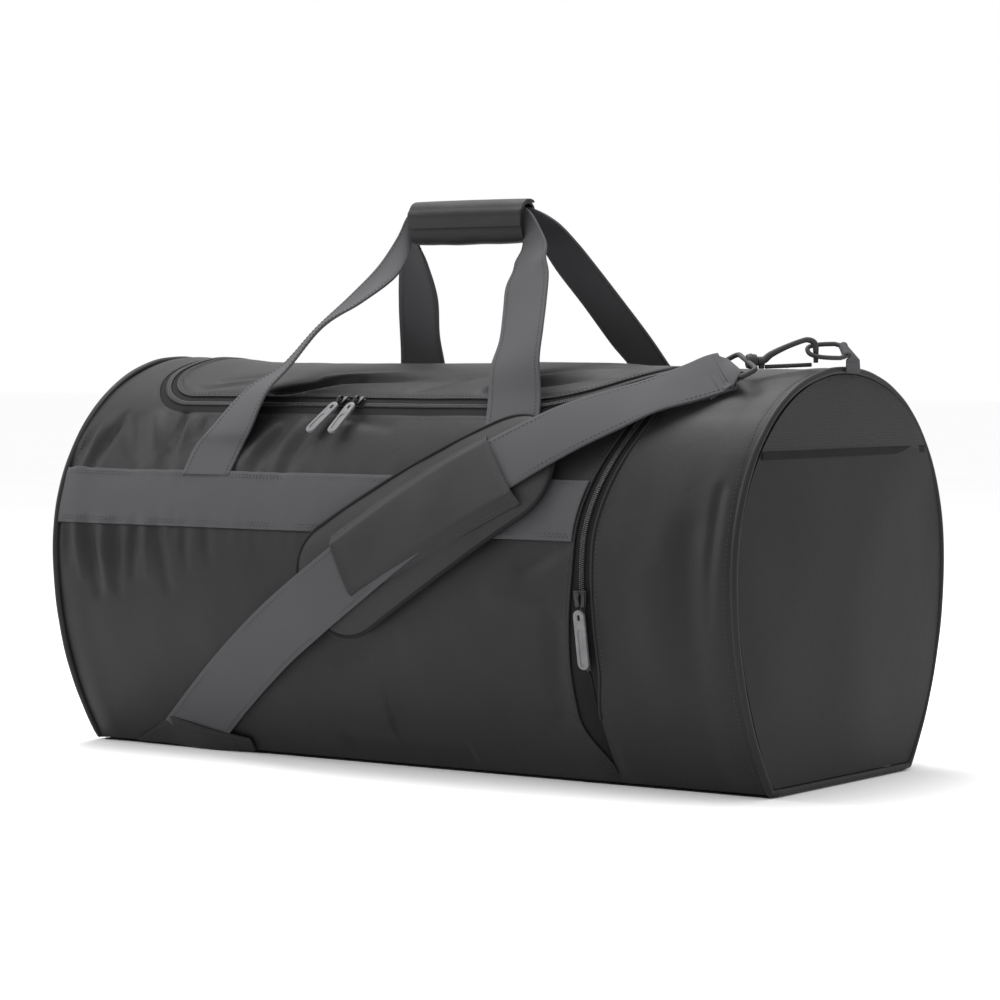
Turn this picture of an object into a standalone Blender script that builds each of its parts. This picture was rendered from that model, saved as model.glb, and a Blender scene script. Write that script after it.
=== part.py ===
"""Barrel sports bag: fabric shell, zipped lid, end pocket, webbing handles and a shoulder strap.

Metres, +Z up.  The origin is the middle of the base, +X runs along the bag to the pocket end and
-Y is the front.  Everything sewn to the barrel is placed by two numbers: x along the bag, and the
girth, which is the length of cloth measured up the front from the base edge.
"""

import math

import bmesh
import bpy
from mathutils import Matrix, Vector

# Driving dimensions
HALF_LENGTH = 0.341
TOP_RADIUS = 0.163
SPRING_HEIGHT = 0.167
SIDE_RADIUS = 0.275
CLOTH = 0.0025
WEBBING = 0.050
WEBBING_THICK = 0.0020
GAP = 0.0004

# The barrel's section: a round top on two flatter side arcs
SIDE_ANGLE = math.asin(SPRING_HEIGHT / SIDE_RADIUS)
SIDE_ARC = SIDE_RADIUS * SIDE_ANGLE
GIRTH = 2 * SIDE_ARC + math.pi * TOP_RADIUS
BASE_HALF = SIDE_RADIUS * math.cos(SIDE_ANGLE) - (SIDE_RADIUS - TOP_RADIUS)
CROWN_DROP = 0.008
DROP_START = 0.130
DROP_RUN = 0.090

# Panels
PIPING_RADIUS = 0.003
PIPING_X = HALF_LENGTH - PIPING_RADIUS
BARREL_X = PIPING_X - PIPING_RADIUS - GAP
PANEL_FOOT = 0.003
END_PANEL_X = HALF_LENGTH - 0.0030
END_INSET = 0.0052
MESH_SEAM = 0.281
FLOOR_CLEAR = 2 * PIPING_RADIUS + 0.0005
BASE_THICK = 0.003
SEAM_LOW_X = 0.204
SEAM_LEAN = 0.022
SEAM_LEAN_START = 0.200
SEAM_LEAN_RUN = 0.130

# Front and rear belts
BELT_LOW = 0.2035
BELT_HIGH = 0.2515
BELT_MIDDLE = (BELT_LOW + BELT_HIGH) / 2
BELT_STOP = 0.0110

# Zips
TAPE = 0.0075
SIDE_TAPE = 0.0095
SIDE_ZIP = (0.100, 0.325)
LID_LEFT = -0.281
LID_RIGHT = 0.197
LID_FRONT = -0.0975
LID_REAR = 0.100
LID_LEFT_CORNER = 0.045
LID_RIGHT_CORNER = 0.085
ZIP_GIRTH = 0.3225

# Handles and grip
GRIP_CENTRE = Vector((-0.0195, 0.0, 0.443))
GRIP_HALF = 0.0535
GRIP_OUTER = (0.0085, 0.0150)
GRIP_WALL = 0.0022
LEG_LEFT = -0.180
LEG_RIGHT = 0.128
HANDLE_Y = 0.0034

# Each handle's free legs, left then right: (centre, half span) from the cloth to the grip and back
LEGS = {
    -1: (
        (
            ((-0.167, -0.1335, 0.272), (0.0245, -0.0040, 0.0000)),
            ((-0.158, -0.1115, 0.3025), (0.0215, -0.0125, -0.0010)),
            ((-0.143, -0.0900, 0.324), (0.0182, -0.0170, 0.0000)),
            ((-0.126, -0.0670, 0.356), (0.0178, -0.0175, 0.0010)),
            ((-0.104, -0.0470, 0.379), (0.0176, -0.0155, -0.0030)),
            ((-0.0855, -0.0280, 0.402), (0.0160, -0.0100, -0.0050)),
            ((-0.0805, -0.0120, 0.423), (0.0085, -0.0045, -0.0085)),
            ((-0.0780, -0.0043, 0.4385), (0.0025, -0.0005, -0.0117)),
        ),
        (
            ((0.0415, -0.0043, 0.4400), (0.0030, 0.0000, 0.0117)),
            ((0.0515, -0.0110, 0.4270), (0.0100, -0.0010, 0.0080)),
            ((0.0580, -0.0210, 0.4160), (0.0165, -0.0020, 0.0070)),
            ((0.0625, -0.0300, 0.4065), (0.0195, -0.0050, 0.0060)),
            ((0.0680, -0.0410, 0.3930), (0.0235, -0.0040, 0.0060)),
            ((0.0775, -0.0580, 0.3720), (0.0240, -0.0045, 0.0050)),
            ((0.0880, -0.0780, 0.3490), (0.0240, -0.0045, 0.0050)),
            ((0.0945, -0.0960, 0.3255), (0.0245, -0.0015, 0.0040)),
            ((0.1030, -0.1085, 0.2992), (0.0250, 0.0000, 0.0010)),
            ((0.1120, -0.1250, 0.2753), (0.0250, 0.0000, 0.0000)),
        ),
    ),
    1: (
        (
            ((-0.159, 0.1290, 0.271), (0.0250, 0.0000, 0.0000)),
            ((-0.150, 0.1120, 0.301), (0.0248, 0.0000, -0.0040)),
            ((-0.139, 0.0960, 0.329), (0.0240, 0.0000, -0.0080)),
            ((-0.1215, 0.0670, 0.362), (0.0216, 0.0000, -0.0125)),
            ((-0.1000, 0.0370, 0.394), (0.0200, 0.0000, -0.0125)),
            ((-0.0865, 0.0150, 0.420), (0.0120, 0.0000, -0.0095)),
            ((-0.0785, 0.0045, 0.4380), (0.0030, 0.0000, -0.0117)),
        ),
        (
            ((0.0420, 0.0045, 0.4412), (0.0030, 0.0000, 0.0117)),
            ((0.0530, 0.0110, 0.4340), (0.0110, -0.0030, 0.0080)),
            ((0.0575, 0.0220, 0.4230), (0.0180, -0.0030, 0.0030)),
            ((0.0620, 0.0400, 0.4045), (0.0230, -0.0065, 0.0020)),
            ((0.0730, 0.0620, 0.3770), (0.0235, -0.0080, 0.0027)),
            ((0.0840, 0.0880, 0.3455), (0.0238, -0.0071, 0.0025)),
            ((0.0935, 0.1080, 0.3200), (0.0240, -0.0065, 0.0000)),
            ((0.1080, 0.1280, 0.2830), (0.0250, 0.0000, 0.0000)),
        ),
    ),
}

# Shoulder strap, pad and hardware
STRAP_ROUTE = (
    (-0.2300, 0.0120, 0.0030),
    (-0.1600, 0.0705, 0.0050),
    (-0.1000, 0.1160, 0.0100),
    (-0.0580, 0.1435, 0.0134),
    (-0.0150, 0.1715, 0.0136),
    (0.0300, 0.2010, 0.0136),
    (0.0750, 0.2295, 0.0135),
    (0.1230, 0.2600, 0.0135),
    (0.1700, 0.2905, 0.0132),
    (0.2050, 0.3137, 0.0120),
    (0.2320, 0.3338, 0.0112),
    (0.2560, 0.3515, 0.0108),
    (0.2745, 0.3698, 0.0112),
)
PAD_CENTRE = (0.0505, 0.2120)
PAD_ANGLE = math.radians(32)
STRAP_ANGLE = math.radians(31)
PAD_SIZE = (0.256, 0.086)
PAD_FLOOR = 0.0046
PAD_THICK = 0.0060
SLEEVE_SIZE = (0.163, 0.066)
SLEEVE_LIFT = 0.0156
HOOK_HEADING = math.radians(46)
RING_BAR = Vector((0.3395, 0.0, 0.3360))
RING_TILT = math.radians(35)
RING_HALF = 0.0095
RING_DEPTH = 0.030
RING_WIRE = 0.0018
NOSE_BACK = 0.0235
HOOK_DROP = 0.008
HOOK_REACH = 0.0410
HOOK_WIRE = 0.0020
EYE_DIP = math.radians(27)

HOOK_ALONG = Vector((math.cos(HOOK_HEADING), math.sin(HOOK_HEADING), 0.0))
HOOK_SIDE = Vector((-math.sin(HOOK_HEADING), math.cos(HOOK_HEADING), 0.0))
UP = Vector((0.0, 0.0, 1.0))
NOSE = RING_BAR - NOSE_BACK * HOOK_ALONG - HOOK_DROP * UP

COLOURS = {
    "cloth": ((0.055, 0.055, 0.058), 0.62, 0.0),
    "end_cloth": ((0.035, 0.035, 0.037), 0.65, 0.0),
    "lining": ((0.030, 0.030, 0.032), 0.75, 0.0),
    "mesh": ((0.020, 0.020, 0.021), 0.80, 0.0),
    "webbing": ((0.045, 0.045, 0.047), 0.78, 0.0),
    "tape": ((0.022, 0.022, 0.023), 0.80, 0.0),
    "pull": ((0.120, 0.120, 0.125), 0.45, 0.0),
    "zip_metal": ((0.060, 0.060, 0.063), 0.35, 0.9),
    "hardware": ((0.020, 0.020, 0.021), 0.40, 0.0),
}


def clear_scene():
    """Remove whatever the file starts with."""
    for old in list(bpy.data.objects):
        bpy.data.objects.remove(old, do_unlink=True)


def collection(name):
    """A new collection in the scene."""
    made = bpy.data.collections.new(name)
    bpy.context.scene.collection.children.link(made)
    return made


def material(kind):
    """The shared Principled material of one kind of piece."""
    made = bpy.data.materials.get(kind)
    if made is None:
        colour, roughness, metallic = COLOURS[kind]
        made = bpy.data.materials.new(kind)
        made.use_nodes = True
        shader = made.node_tree.nodes["Principled BSDF"]
        shader.inputs["Base Color"].default_value = (*colour, 1.0)
        shader.inputs["Roughness"].default_value = roughness
        shader.inputs["Metallic"].default_value = metallic
    return made


def add_object(name, data, kind, group="duffel_bag"):
    """Link an object to its collection; a piece in the cutters' collection is only a guide."""
    made = bpy.data.objects.new(name, data)
    bpy.data.collections[group].objects.link(made)
    if group == "cutters":
        made.hide_render = True
        made.display_type = "WIRE"
    else:
        data.materials.append(material(kind))
    return made


def smooth_step(value):
    """0 below 0, 1 above 1, and a soft ramp between."""
    value = min(max(value, 0.0), 1.0)
    return value * value * (3.0 - 2.0 * value)


def skin(x, girth, lift=0.0):
    """The point on the barrel at x and girth, raised by lift along the outward normal."""
    front = min(girth, GIRTH - girth)
    if front < SIDE_ARC:
        turn = SIDE_ANGLE - front / SIDE_RADIUS
        y = SIDE_RADIUS - TOP_RADIUS - (SIDE_RADIUS + lift) * math.cos(turn)
        z = SPRING_HEIGHT - (SIDE_RADIUS + lift) * math.sin(turn)
    else:
        turn = (front - SIDE_ARC) / TOP_RADIUS
        y = -(TOP_RADIUS + lift) * math.cos(turn)
        z = SPRING_HEIGHT + (TOP_RADIUS + lift) * math.sin(turn)
        sag = CROWN_DROP * smooth_step((x - DROP_START) / DROP_RUN)
        z -= sag * math.sin(turn) ** 4
    if girth > GIRTH / 2:
        y = -y
    return Vector((x, y, z))


def seam_x(girth):
    """Where the pocket's seam crosses the barrel: upright below, leaning outward over the top."""
    front = min(girth, GIRTH - girth)
    return SEAM_LOW_X + SEAM_LEAN * smooth_step((front - SEAM_LEAN_START) / SEAM_LEAN_RUN)


def through(points, steps):
    """A smooth curve through points, with steps stretches between each two of them."""
    points = [Vector(point) for point in points]
    padded = [2 * points[0] - points[1], *points, 2 * points[-1] - points[-2]]
    curve = []
    for k in range(len(points) - 1):
        before, start, end, after = padded[k : k + 4]
        for step in range(steps):
            t = step / steps
            curve.append(
                0.5
                * (
                    2 * start
                    + (end - before) * t
                    + (2 * before - 5 * start + 4 * end - after) * t**2
                    + (3 * start - before - 3 * end + after) * t**3
                )
            )
    curve.append(points[-1])
    return curve


def sheet(name, point, columns, rows, thickness, kind, side=-1.0, group="duffel_bag"):
    """A curved sheet: a flat grid wrapped by point(u, v), then given its thickness."""
    mesh = bpy.data.meshes.new(name)
    grid = bmesh.new()
    bmesh.ops.create_grid(grid, x_segments=columns, y_segments=rows, size=0.5)
    for vertex in grid.verts:
        vertex.co = point(vertex.co.x + 0.5, vertex.co.y + 0.5)
    grid.to_mesh(mesh)
    grid.free()
    made = add_object(name, mesh, kind, group)
    solid = made.modifiers.new("thickness", "SOLIDIFY")
    solid.thickness = thickness
    solid.offset = side
    return made


def barrel_sheet(
    name, x_range, girth_range, kind, lift=0.0, thickness=CLOTH, columns=1, group="duffel_bag"
):
    """A panel of the barrel between two x edges, which may be functions of the girth."""
    rows = max(2, round((girth_range[1] - girth_range[0]) / 0.012))

    def edge(value, girth):
        return value(girth) if callable(value) else value

    def point(u, v):
        girth = girth_range[0] + v * (girth_range[1] - girth_range[0])
        left = edge(x_range[0], girth)
        right = edge(x_range[1], girth)
        return skin(left + u * (right - left), girth, lift)

    return sheet(name, point, columns, rows, thickness, kind, group=group)


def as_mesh(made):
    """Turn a curve object into a welded mesh object of the same name."""
    bpy.context.view_layer.update()
    shape = made.evaluated_get(bpy.context.evaluated_depsgraph_get())
    mesh = bpy.data.meshes.new_from_object(shape)
    welded = bmesh.new()
    welded.from_mesh(mesh)
    bmesh.ops.remove_doubles(welded, verts=welded.verts, dist=1e-6)
    welded.to_mesh(mesh)
    welded.free()
    name = made.name
    place = made.matrix_world.copy()
    group = made.users_collection[0].name
    kind = made.data.materials[0].name if made.data.materials else None
    bpy.data.objects.remove(made, do_unlink=True)
    mesh.materials.clear()
    solid = add_object(name, mesh, kind, group)
    solid.matrix_world = place
    return solid


def flat_plate(name, rings, low, high, kind, turn=None, group="duffel_bag"):
    """A filled outline, with holes for any further rings, from local z low to high."""
    curve = bpy.data.curves.new(name, "CURVE")
    curve.dimensions = "2D"
    curve.fill_mode = "BOTH"
    curve.extrude = (high - low) / 2
    for ring in rings:
        spline = curve.splines.new("POLY")
        spline.points.add(len(ring) - 1)
        for knot, (a, b) in zip(spline.points, ring):
            knot.co = (a, b, 0.0, 1.0)
        spline.use_cyclic_u = True
    made = add_object(name, curve, kind, group)
    turn = turn or Matrix.Identity(4)
    made.matrix_world = turn @ Matrix.Translation((0.0, 0.0, (low + high) / 2))
    return made


def wire(name, points, radius, kind, closed=False, group="duffel_bag"):
    """A round wire along points."""
    curve = bpy.data.curves.new(name, "CURVE")
    curve.dimensions = "3D"
    curve.bevel_depth = radius
    curve.bevel_resolution = 2
    curve.use_fill_caps = not closed
    spline = curve.splines.new("POLY")
    spline.points.add(len(points) - 1)
    for knot, point in zip(spline.points, points):
        knot.co = (*point, 1.0)
    spline.use_cyclic_u = closed
    return add_object(name, curve, kind, group)


def primitive(name, kind, place, builder, group="duffel_bag", **sizes):
    """A bmesh primitive set at a matrix."""
    mesh = bpy.data.meshes.new(name)
    shape = bmesh.new()
    builder(shape, **sizes)
    shape.to_mesh(mesh)
    shape.free()
    made = add_object(name, mesh, kind, group)
    made.matrix_world = place
    return made


def block(name, size, place, kind, rounding=0.0, group="duffel_bag"):
    """A box of the given size, with rounded edges if asked."""
    scale = Matrix.Diagonal((*size, 1.0))
    made = primitive(name, kind, place, bmesh.ops.create_cube, group, size=1.0, matrix=scale)
    if rounding:
        bevel = made.modifiers.new("edges", "BEVEL")
        bevel.width = rounding
        bevel.segments = 2
        bevel.limit_method = "NONE"
    return made


def rod(name, start, end, radius, kind, group="duffel_bag", sides=20):
    """A cylinder between two points."""
    along = end - start
    place = Matrix.Translation((start + end) / 2) @ along.to_track_quat("Z", "Y").to_matrix().to_4x4()
    return primitive(
        name, kind, place, bmesh.ops.create_cone, group,
        cap_ends=True, segments=sides, radius1=radius, radius2=radius, depth=along.length,
    )


def cut(target, operation, tool):
    """Add a Boolean with a mesh tool, which stays as a guide."""
    step = target.modifiers.new(operation.lower(), "BOOLEAN")
    step.operation = operation
    step.object = tool
    step.solver = "EXACT"


def frame_at(x, girth, lift=0.0):
    """Axes on the barrel: local X along the bag, local Y down the cloth, local Z outward."""
    origin = skin(x, girth, lift)
    down = (skin(x, girth - 0.001) - skin(x, girth + 0.001)).normalized()
    out = (skin(x, girth, 0.001) - skin(x, girth)).normalized()
    axes = Matrix((Vector((-1.0, 0.0, 0.0)), down, out)).transposed().to_4x4()
    return Matrix.Translation(origin) @ axes


# ---------------------------------------------------------------- shell

def base():
    """The base panel and the stiffener board that lies on it."""
    block(
        "base_panel",
        (2 * BARREL_X, 2 * (BASE_HALF - 0.001), BASE_THICK),
        Matrix.Translation((0.0, 0.0, BASE_THICK / 2)),
        "cloth",
    )
    board_right = SEAM_LOW_X - 0.006
    board_left = -BARREL_X + 0.010
    block(
        "base_board",
        (board_right - board_left, 2 * (BASE_HALF - 0.010), 0.003),
        Matrix.Translation(((board_right + board_left) / 2, 0.0, BASE_THICK + GAP + 0.0015)),
        "lining",
    )


def tape_notch(name):
    """A guide block as long as the side zip, used to let the tapes into the cloth."""
    return barrel_sheet(
        name,
        (lambda girth: seam_x(girth) - SIDE_TAPE - GAP, lambda girth: seam_x(girth) + SIDE_TAPE + GAP),
        (SIDE_ZIP[0] - GAP, SIDE_ZIP[1] + GAP),
        "cloth",
        lift=0.006,
        thickness=0.014,
        group="cutters",
    )


def lid_outline(grow, rear):
    """The lid's outline seen from above: two rounded front corners and a straight rear edge."""
    corners = (
        (LID_LEFT - grow, LID_LEFT_CORNER + grow, 180),
        (LID_RIGHT + grow, LID_RIGHT_CORNER + grow, 270),
    )
    front = LID_FRONT - grow
    outline = [(LID_LEFT - grow, rear)]
    for edge, radius, first in corners:
        centre_x = edge + radius if first == 180 else edge - radius
        for step in range(9):
            angle = math.radians(first + 90 * step / 8)
            outline.append((centre_x + radius * math.cos(angle), front + radius + radius * math.sin(angle)))
    outline.append((LID_RIGHT + grow, rear))
    return outline


def lid_tool(name, grow, rear):
    """An upright guide prism on the lid's outline."""
    return as_mesh(flat_plate(name, [lid_outline(grow, rear)], 0.24, 0.36, None, group="cutters"))


def barrel_panels():
    """Front, rear and top panels of the main bag and the wrapped panel of the end pocket."""
    main_edge = lambda girth: seam_x(girth) - GAP / 2
    notch = tape_notch("side_zip_notch")
    low_girths = (PANEL_FOOT, BELT_MIDDLE - GAP / 2)
    high_girths = (GIRTH - BELT_MIDDLE + GAP / 2, GIRTH - PANEL_FOOT)
    front = barrel_sheet("front_panel", (-BARREL_X, main_edge), low_girths, "cloth", columns=8)
    cut(front, "DIFFERENCE", notch)
    barrel_sheet("rear_panel", (-BARREL_X, main_edge), high_girths, "cloth", columns=8)
    top = barrel_sheet(
        "top_panel",
        (-BARREL_X, main_edge),
        (BELT_MIDDLE + GAP / 2, GIRTH - BELT_MIDDLE - GAP / 2),
        "cloth",
        columns=14,
    )
    cut(top, "DIFFERENCE", lid_tool("lid_opening", 2 * TAPE + GAP, LID_REAR + 2 * GAP))
    cut(top, "DIFFERENCE", notch)
    pocket = barrel_sheet(
        "pocket_panel",
        (lambda girth: seam_x(girth) + GAP / 2, BARREL_X),
        (PANEL_FOOT, GIRTH - PANEL_FOOT),
        "cloth",
        columns=3,
    )
    cut(pocket, "DIFFERENCE", notch)


def divider():
    """The inner wall between the main bag and the end pocket, just short of the barrel all round."""

    def point(u, v):
        girth = 0.012 + v * (GIRTH / 2 - 0.030)
        wall = skin(SEAM_LOW_X, girth, -CLOTH - 0.0015)
        return Vector((seam_x(girth), wall.y * (1 - 2 * u), max(wall.z, BASE_THICK + 0.001)))

    sheet("divider", point, 6, 24, 0.0012, "lining", side=0.0)


def section_outline(x, lift, low=None, high=None):
    """The section at x, closed along the base, or only its part below or above a girth."""
    start, end = (low, GIRTH - low) if low else (0.006, GIRTH - 0.006)
    steps = 72
    girths = [start + (end - start) * k / steps for k in range(steps + 1)]
    if high:
        girths = [g for g in girths if min(g, GIRTH - g) < high] + [high, GIRTH - high]
        girths.sort()
    ring = [(p.y, p.z) for p in (skin(x, g, lift) for g in girths) if p.z > FLOOR_CLEAR]
    if low is None:
        half = BASE_HALF + lift
        ring = [(-half, FLOOR_CLEAR), *ring, (half, FLOOR_CLEAR)]
    return ring


def end_panels():
    """Left end, right end with its upper mesh panel, and the piping round both."""
    turn = Matrix(((0, 0, 1, 0), (1, 0, 0, 0), (0, 1, 0, 0), (0, 0, 0, 1)))
    outer = END_PANEL_X + 0.0025
    inset = -END_INSET
    flat_plate("left_end_panel", [section_outline(-outer, inset)], -outer, -END_PANEL_X, "end_cloth", turn)
    flat_plate(
        "right_end_panel",
        [section_outline(outer, inset, high=MESH_SEAM - GAP)],
        END_PANEL_X, outer, "end_cloth", turn,
    )
    flat_plate(
        "right_end_mesh",
        [section_outline(outer, inset, low=MESH_SEAM + GAP)],
        END_PANEL_X, outer, "mesh", turn,
    )
    for name, x in (("piping_left", -PIPING_X), ("piping_right", PIPING_X)):
        ring = [Vector((x, y, z)) for y, z in section_outline(x, -0.001)[1:-1]]
        foot = BASE_HALF - 0.001
        ring = [Vector((x, -foot, PIPING_RADIUS)), *ring, Vector((x, foot, PIPING_RADIUS))]
        wire(name, ring, PIPING_RADIUS, "webbing", True)


# ---------------------------------------------------------------- lid and zips

def lid():
    """The lid flap and the two halves of its zip."""

    def lid_sheet(name, kind):
        return barrel_sheet(name, (-0.330, 0.232), (0.285, GIRTH - 0.285), kind, columns=14)

    rear_stop = LID_REAR - 0.004
    panel = lid_sheet("lid_panel", "cloth")
    cut(panel, "INTERSECT", lid_tool("lid_edge", 0.0, LID_REAR))
    inner = lid_sheet("lid_zip_tape", "tape")
    cut(inner, "INTERSECT", lid_tool("lid_tape_edge", TAPE - GAP / 2, rear_stop))
    cut(inner, "DIFFERENCE", lid_tool("lid_tape_inside", GAP, LID_REAR + 0.010))
    outer = lid_sheet("body_zip_tape", "tape")
    cut(outer, "INTERSECT", lid_tool("body_tape_edge", 2 * TAPE, rear_stop))
    cut(outer, "DIFFERENCE", lid_tool("body_tape_inside", TAPE + GAP / 2, LID_REAR + 0.010))


def side_tapes():
    """The two halves of the end pocket's zip."""
    barrel_sheet(
        "side_tape_body",
        (lambda girth: seam_x(girth) - SIDE_TAPE, lambda girth: seam_x(girth) - GAP / 2),
        SIDE_ZIP, "tape", columns=1,
    )
    barrel_sheet(
        "side_tape_pocket",
        (lambda girth: seam_x(girth) + GAP / 2, lambda girth: seam_x(girth) + SIDE_TAPE),
        SIDE_ZIP, "tape", columns=1,
    )


def slider(name, pull_name, place, length, width, height, pull_length, lean, spread):
    """A zip slider with its pull hanging from its lower edge, as two separate pieces."""
    above_tape = Matrix.Translation((0, 0, height / 2 + 0.0008))
    block(name, (width, length, height), place @ above_tape, "zip_metal", 0.0008)
    pull_thick = 0.0024
    pivot = Vector((0.0, length / 2 + pull_thick / 2 + 0.0020, height + 0.0008))
    swing = Matrix.Translation(pivot) @ Matrix.Rotation(lean, 4, "X") @ Matrix.Rotation(spread, 4, "Z")
    hang = Matrix.Translation((0, pull_length / 2 - pull_thick / 2, 0))
    block(pull_name, (0.0085, pull_length, pull_thick), place @ swing @ hang, "pull", 0.0009)


def sliders():
    """The lid's two sliders, head to head, and the pocket's single one."""
    for side, x, lean, spread in (("left", -0.0715, -7, -22), ("right", -0.0545, -4, -7)):
        slider(
            f"lid_slider_{side}", f"lid_pull_{side}", frame_at(x, ZIP_GIRTH),
            length=0.0090, width=0.0115, height=0.0062, pull_length=0.034,
            lean=math.radians(lean), spread=math.radians(spread),
        )
    slider(
        "side_slider", "side_pull", frame_at(SEAM_LOW_X, 0.1605),
        length=0.0130, width=0.0110, height=0.0050, pull_length=0.046,
        lean=math.radians(-6), spread=0.0,
    )


# ---------------------------------------------------------------- webbing

def belts():
    """The horizontal webbing on the front and the rear."""
    stop = lambda girth: seam_x(girth) - BELT_STOP
    lift = GAP + WEBBING_THICK
    for name, girths in (
        ("belt_front", (BELT_LOW, BELT_HIGH)), ("belt_rear", (GIRTH - BELT_HIGH, GIRTH - BELT_LOW))
    ):
        barrel_sheet(name, (-BARREL_X, stop), girths, "webbing", lift, WEBBING_THICK, 8)


def handle(name, side):
    """One carrying handle: up from the belt, through the grip and down again."""
    foot = BELT_HIGH + 0.0010
    half = WEBBING / 2
    grip_half = 0.0122
    left = GRIP_CENTRE.x - GRIP_HALF
    right = GRIP_CENTRE.x + GRIP_HALF
    flat = Vector((half, 0.0, 0.0))
    upright = Vector((0.0, 0.0, -grip_half))
    level = Vector((0.0, side * HANDLE_Y, 0.0))
    lying = GAP + WEBBING_THICK / 2 + 0.0007

    def on_cloth(x, girth, lift):
        point = skin(x, girth, lift)
        return Vector((x, -side * point.y, point.z))

    stations = [
        (on_cloth(LEG_LEFT, foot, lying), flat),
        (on_cloth(LEG_LEFT + 0.004, foot + 0.022, lying), flat),
    ]
    for place, span in LEGS[side][0]:
        stations.append((Vector(place), Vector(span)))
    stations += [
        (Vector((left + 0.004, 0, GRIP_CENTRE.z)) + level, upright),
        (GRIP_CENTRE + level, upright),
        (Vector((right - 0.004, 0, GRIP_CENTRE.z)) + level, upright),
    ]
    for place, span in LEGS[side][1]:
        stations.append((Vector(place), -Vector(span)))
    stations += [
        (on_cloth(LEG_RIGHT - 0.007, foot + 0.022, lying), -flat),
        (on_cloth(LEG_RIGHT, foot, lying), -flat),
    ]
    centres = through([centre for centre, _ in stations], 4)
    spans = through([span for _, span in stations], 4)
    last = len(centres) - 1

    def point(u, v):
        k = min(round(v * last), last)
        return centres[k] + spans[k] * (2 * u - 1)

    sheet(name, point, 2, last, WEBBING_THICK, "webbing", side=0.0)


def rounded_ring(half_y, half_z, radius):
    """A rounded rectangle as (y, z) points."""
    ring = []
    for sign_y, sign_z, first in ((1, 1, 0), (-1, 1, 90), (-1, -1, 180), (1, -1, 270)):
        for step in range(4):
            angle = math.radians(first + 30 * step)
            ring.append((
                sign_y * (half_y - radius) + radius * math.cos(angle),
                sign_z * (half_z - radius) + radius * math.sin(angle),
            ))
    return ring


def grip():
    """The wrap round both handles, its closing flap and the fastener strip inside the flap."""
    lengthwise = Matrix(((0, 0, 1, 0), (1, 0, 0, 0), (0, 1, 0, 0), (0, 0, 0, 1)))
    turn = Matrix.Translation(GRIP_CENTRE) @ lengthwise
    outer_y, outer_z = GRIP_OUTER
    flat_plate(
        "grip_wrap",
        [
            rounded_ring(outer_y, outer_z, 0.004),
            rounded_ring(outer_y - GRIP_WALL, outer_z - GRIP_WALL, 0.002),
        ],
        -GRIP_HALF, GRIP_HALF, "cloth", turn,
    )
    clear = 0.0016
    flap_y = outer_y + clear
    flap_z = outer_z + GAP
    corner = 0.004
    route = [(outer_y - 0.001, flap_z)]
    for step in range(5):
        angle = math.radians(90 + 90 * step / 4)
        y = -flap_y + corner + corner * math.cos(angle)
        route.append((y, flap_z - corner + corner * math.sin(angle)))
    route.append((-flap_y, 0.0))
    route.append((-flap_y, -outer_z + 0.001))

    def flap_point(u, v):
        k = min(round(v * (len(route) - 1)), len(route) - 1)
        y, z = route[k]
        return GRIP_CENTRE + Vector(((1 - 2 * u) * (GRIP_HALF - 0.001), y, z))

    sheet("grip_flap", flap_point, 1, len(route) - 1, 0.0018, "cloth", side=1.0)
    block(
        "grip_fastener",
        (2 * GRIP_HALF - 0.016, 0.0007, 0.018),
        Matrix.Translation(GRIP_CENTRE + Vector((0.0, -outer_y - clear + 0.0006, -0.003))),
        "tape",
    )


def strap():
    """The shoulder strap from its sewn end to the eye of the hook."""
    route = through(STRAP_ROUTE, 5)
    last = len(route) - 1

    def point(u, v):
        k = min(round(v * last), last)
        here = route[k]
        ahead = route[min(k + 1, last)] - route[max(k - 1, 0)]
        across = Vector((ahead.y, -ahead.x)).normalized() * WEBBING * (u - 0.5)
        return skin(here.x + across.x, max(here.y + across.y, 0.004), here.z)

    sheet("shoulder_strap", point, 4, last, WEBBING_THICK, "webbing")


def anchor_patch():
    """The three-cornered patch sewn over the strap's lower end."""
    top_left = (-0.288, 0.0035)
    peak = (-0.238, 0.0300)
    right = (-0.160, 0.0120)

    def point(u, v):
        low = Vector(top_left).lerp(Vector((-0.160, 0.0035)), u)
        if u < 0.4:
            high = Vector(top_left).lerp(Vector(peak), u / 0.4)
        else:
            high = Vector(peak).lerp(Vector(right), (u - 0.4) / 0.6)
        high.y += 0.004
        spot = low.lerp(high, v)
        return skin(spot.x, spot.y, 0.0052)

    sheet("strap_patch", point, 10, 2, 0.0012, "cloth")


def pad():
    """The shoulder pad and the sleeve that holds it to the strap."""
    length, width = PAD_SIZE

    def on_pad(along, across, angle, lift):
        x = PAD_CENTRE[0] + along * math.cos(angle) - across * math.sin(angle)
        girth = PAD_CENTRE[1] + along * math.sin(angle) + across * math.cos(angle)
        return skin(x, girth, lift)

    def pad_point(u, v):
        along = (u - 0.5) * length
        past = max(abs(along) - (length / 2 - width * 0.42), 0.0) / (width * 0.42)
        half = width / 2 * (0.30 + 0.70 * math.sqrt(max(1.0 - past * past, 0.0)))
        return on_pad(along, (2 * v - 1) * half, PAD_ANGLE, PAD_FLOOR + PAD_THICK)

    sheet("pad_foam", pad_point, 24, 6, PAD_THICK, "cloth")

    def sleeve_point(u, v):
        along = (u - 0.5) * SLEEVE_SIZE[0]
        across = (v - 0.5) * SLEEVE_SIZE[1] + 0.004
        return on_pad(along, across, STRAP_ANGLE, SLEEVE_LIFT)

    sheet("pad_sleeve", sleeve_point, 12, 6, 0.0014, "cloth")


# ---------------------------------------------------------------- ring and hook

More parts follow.
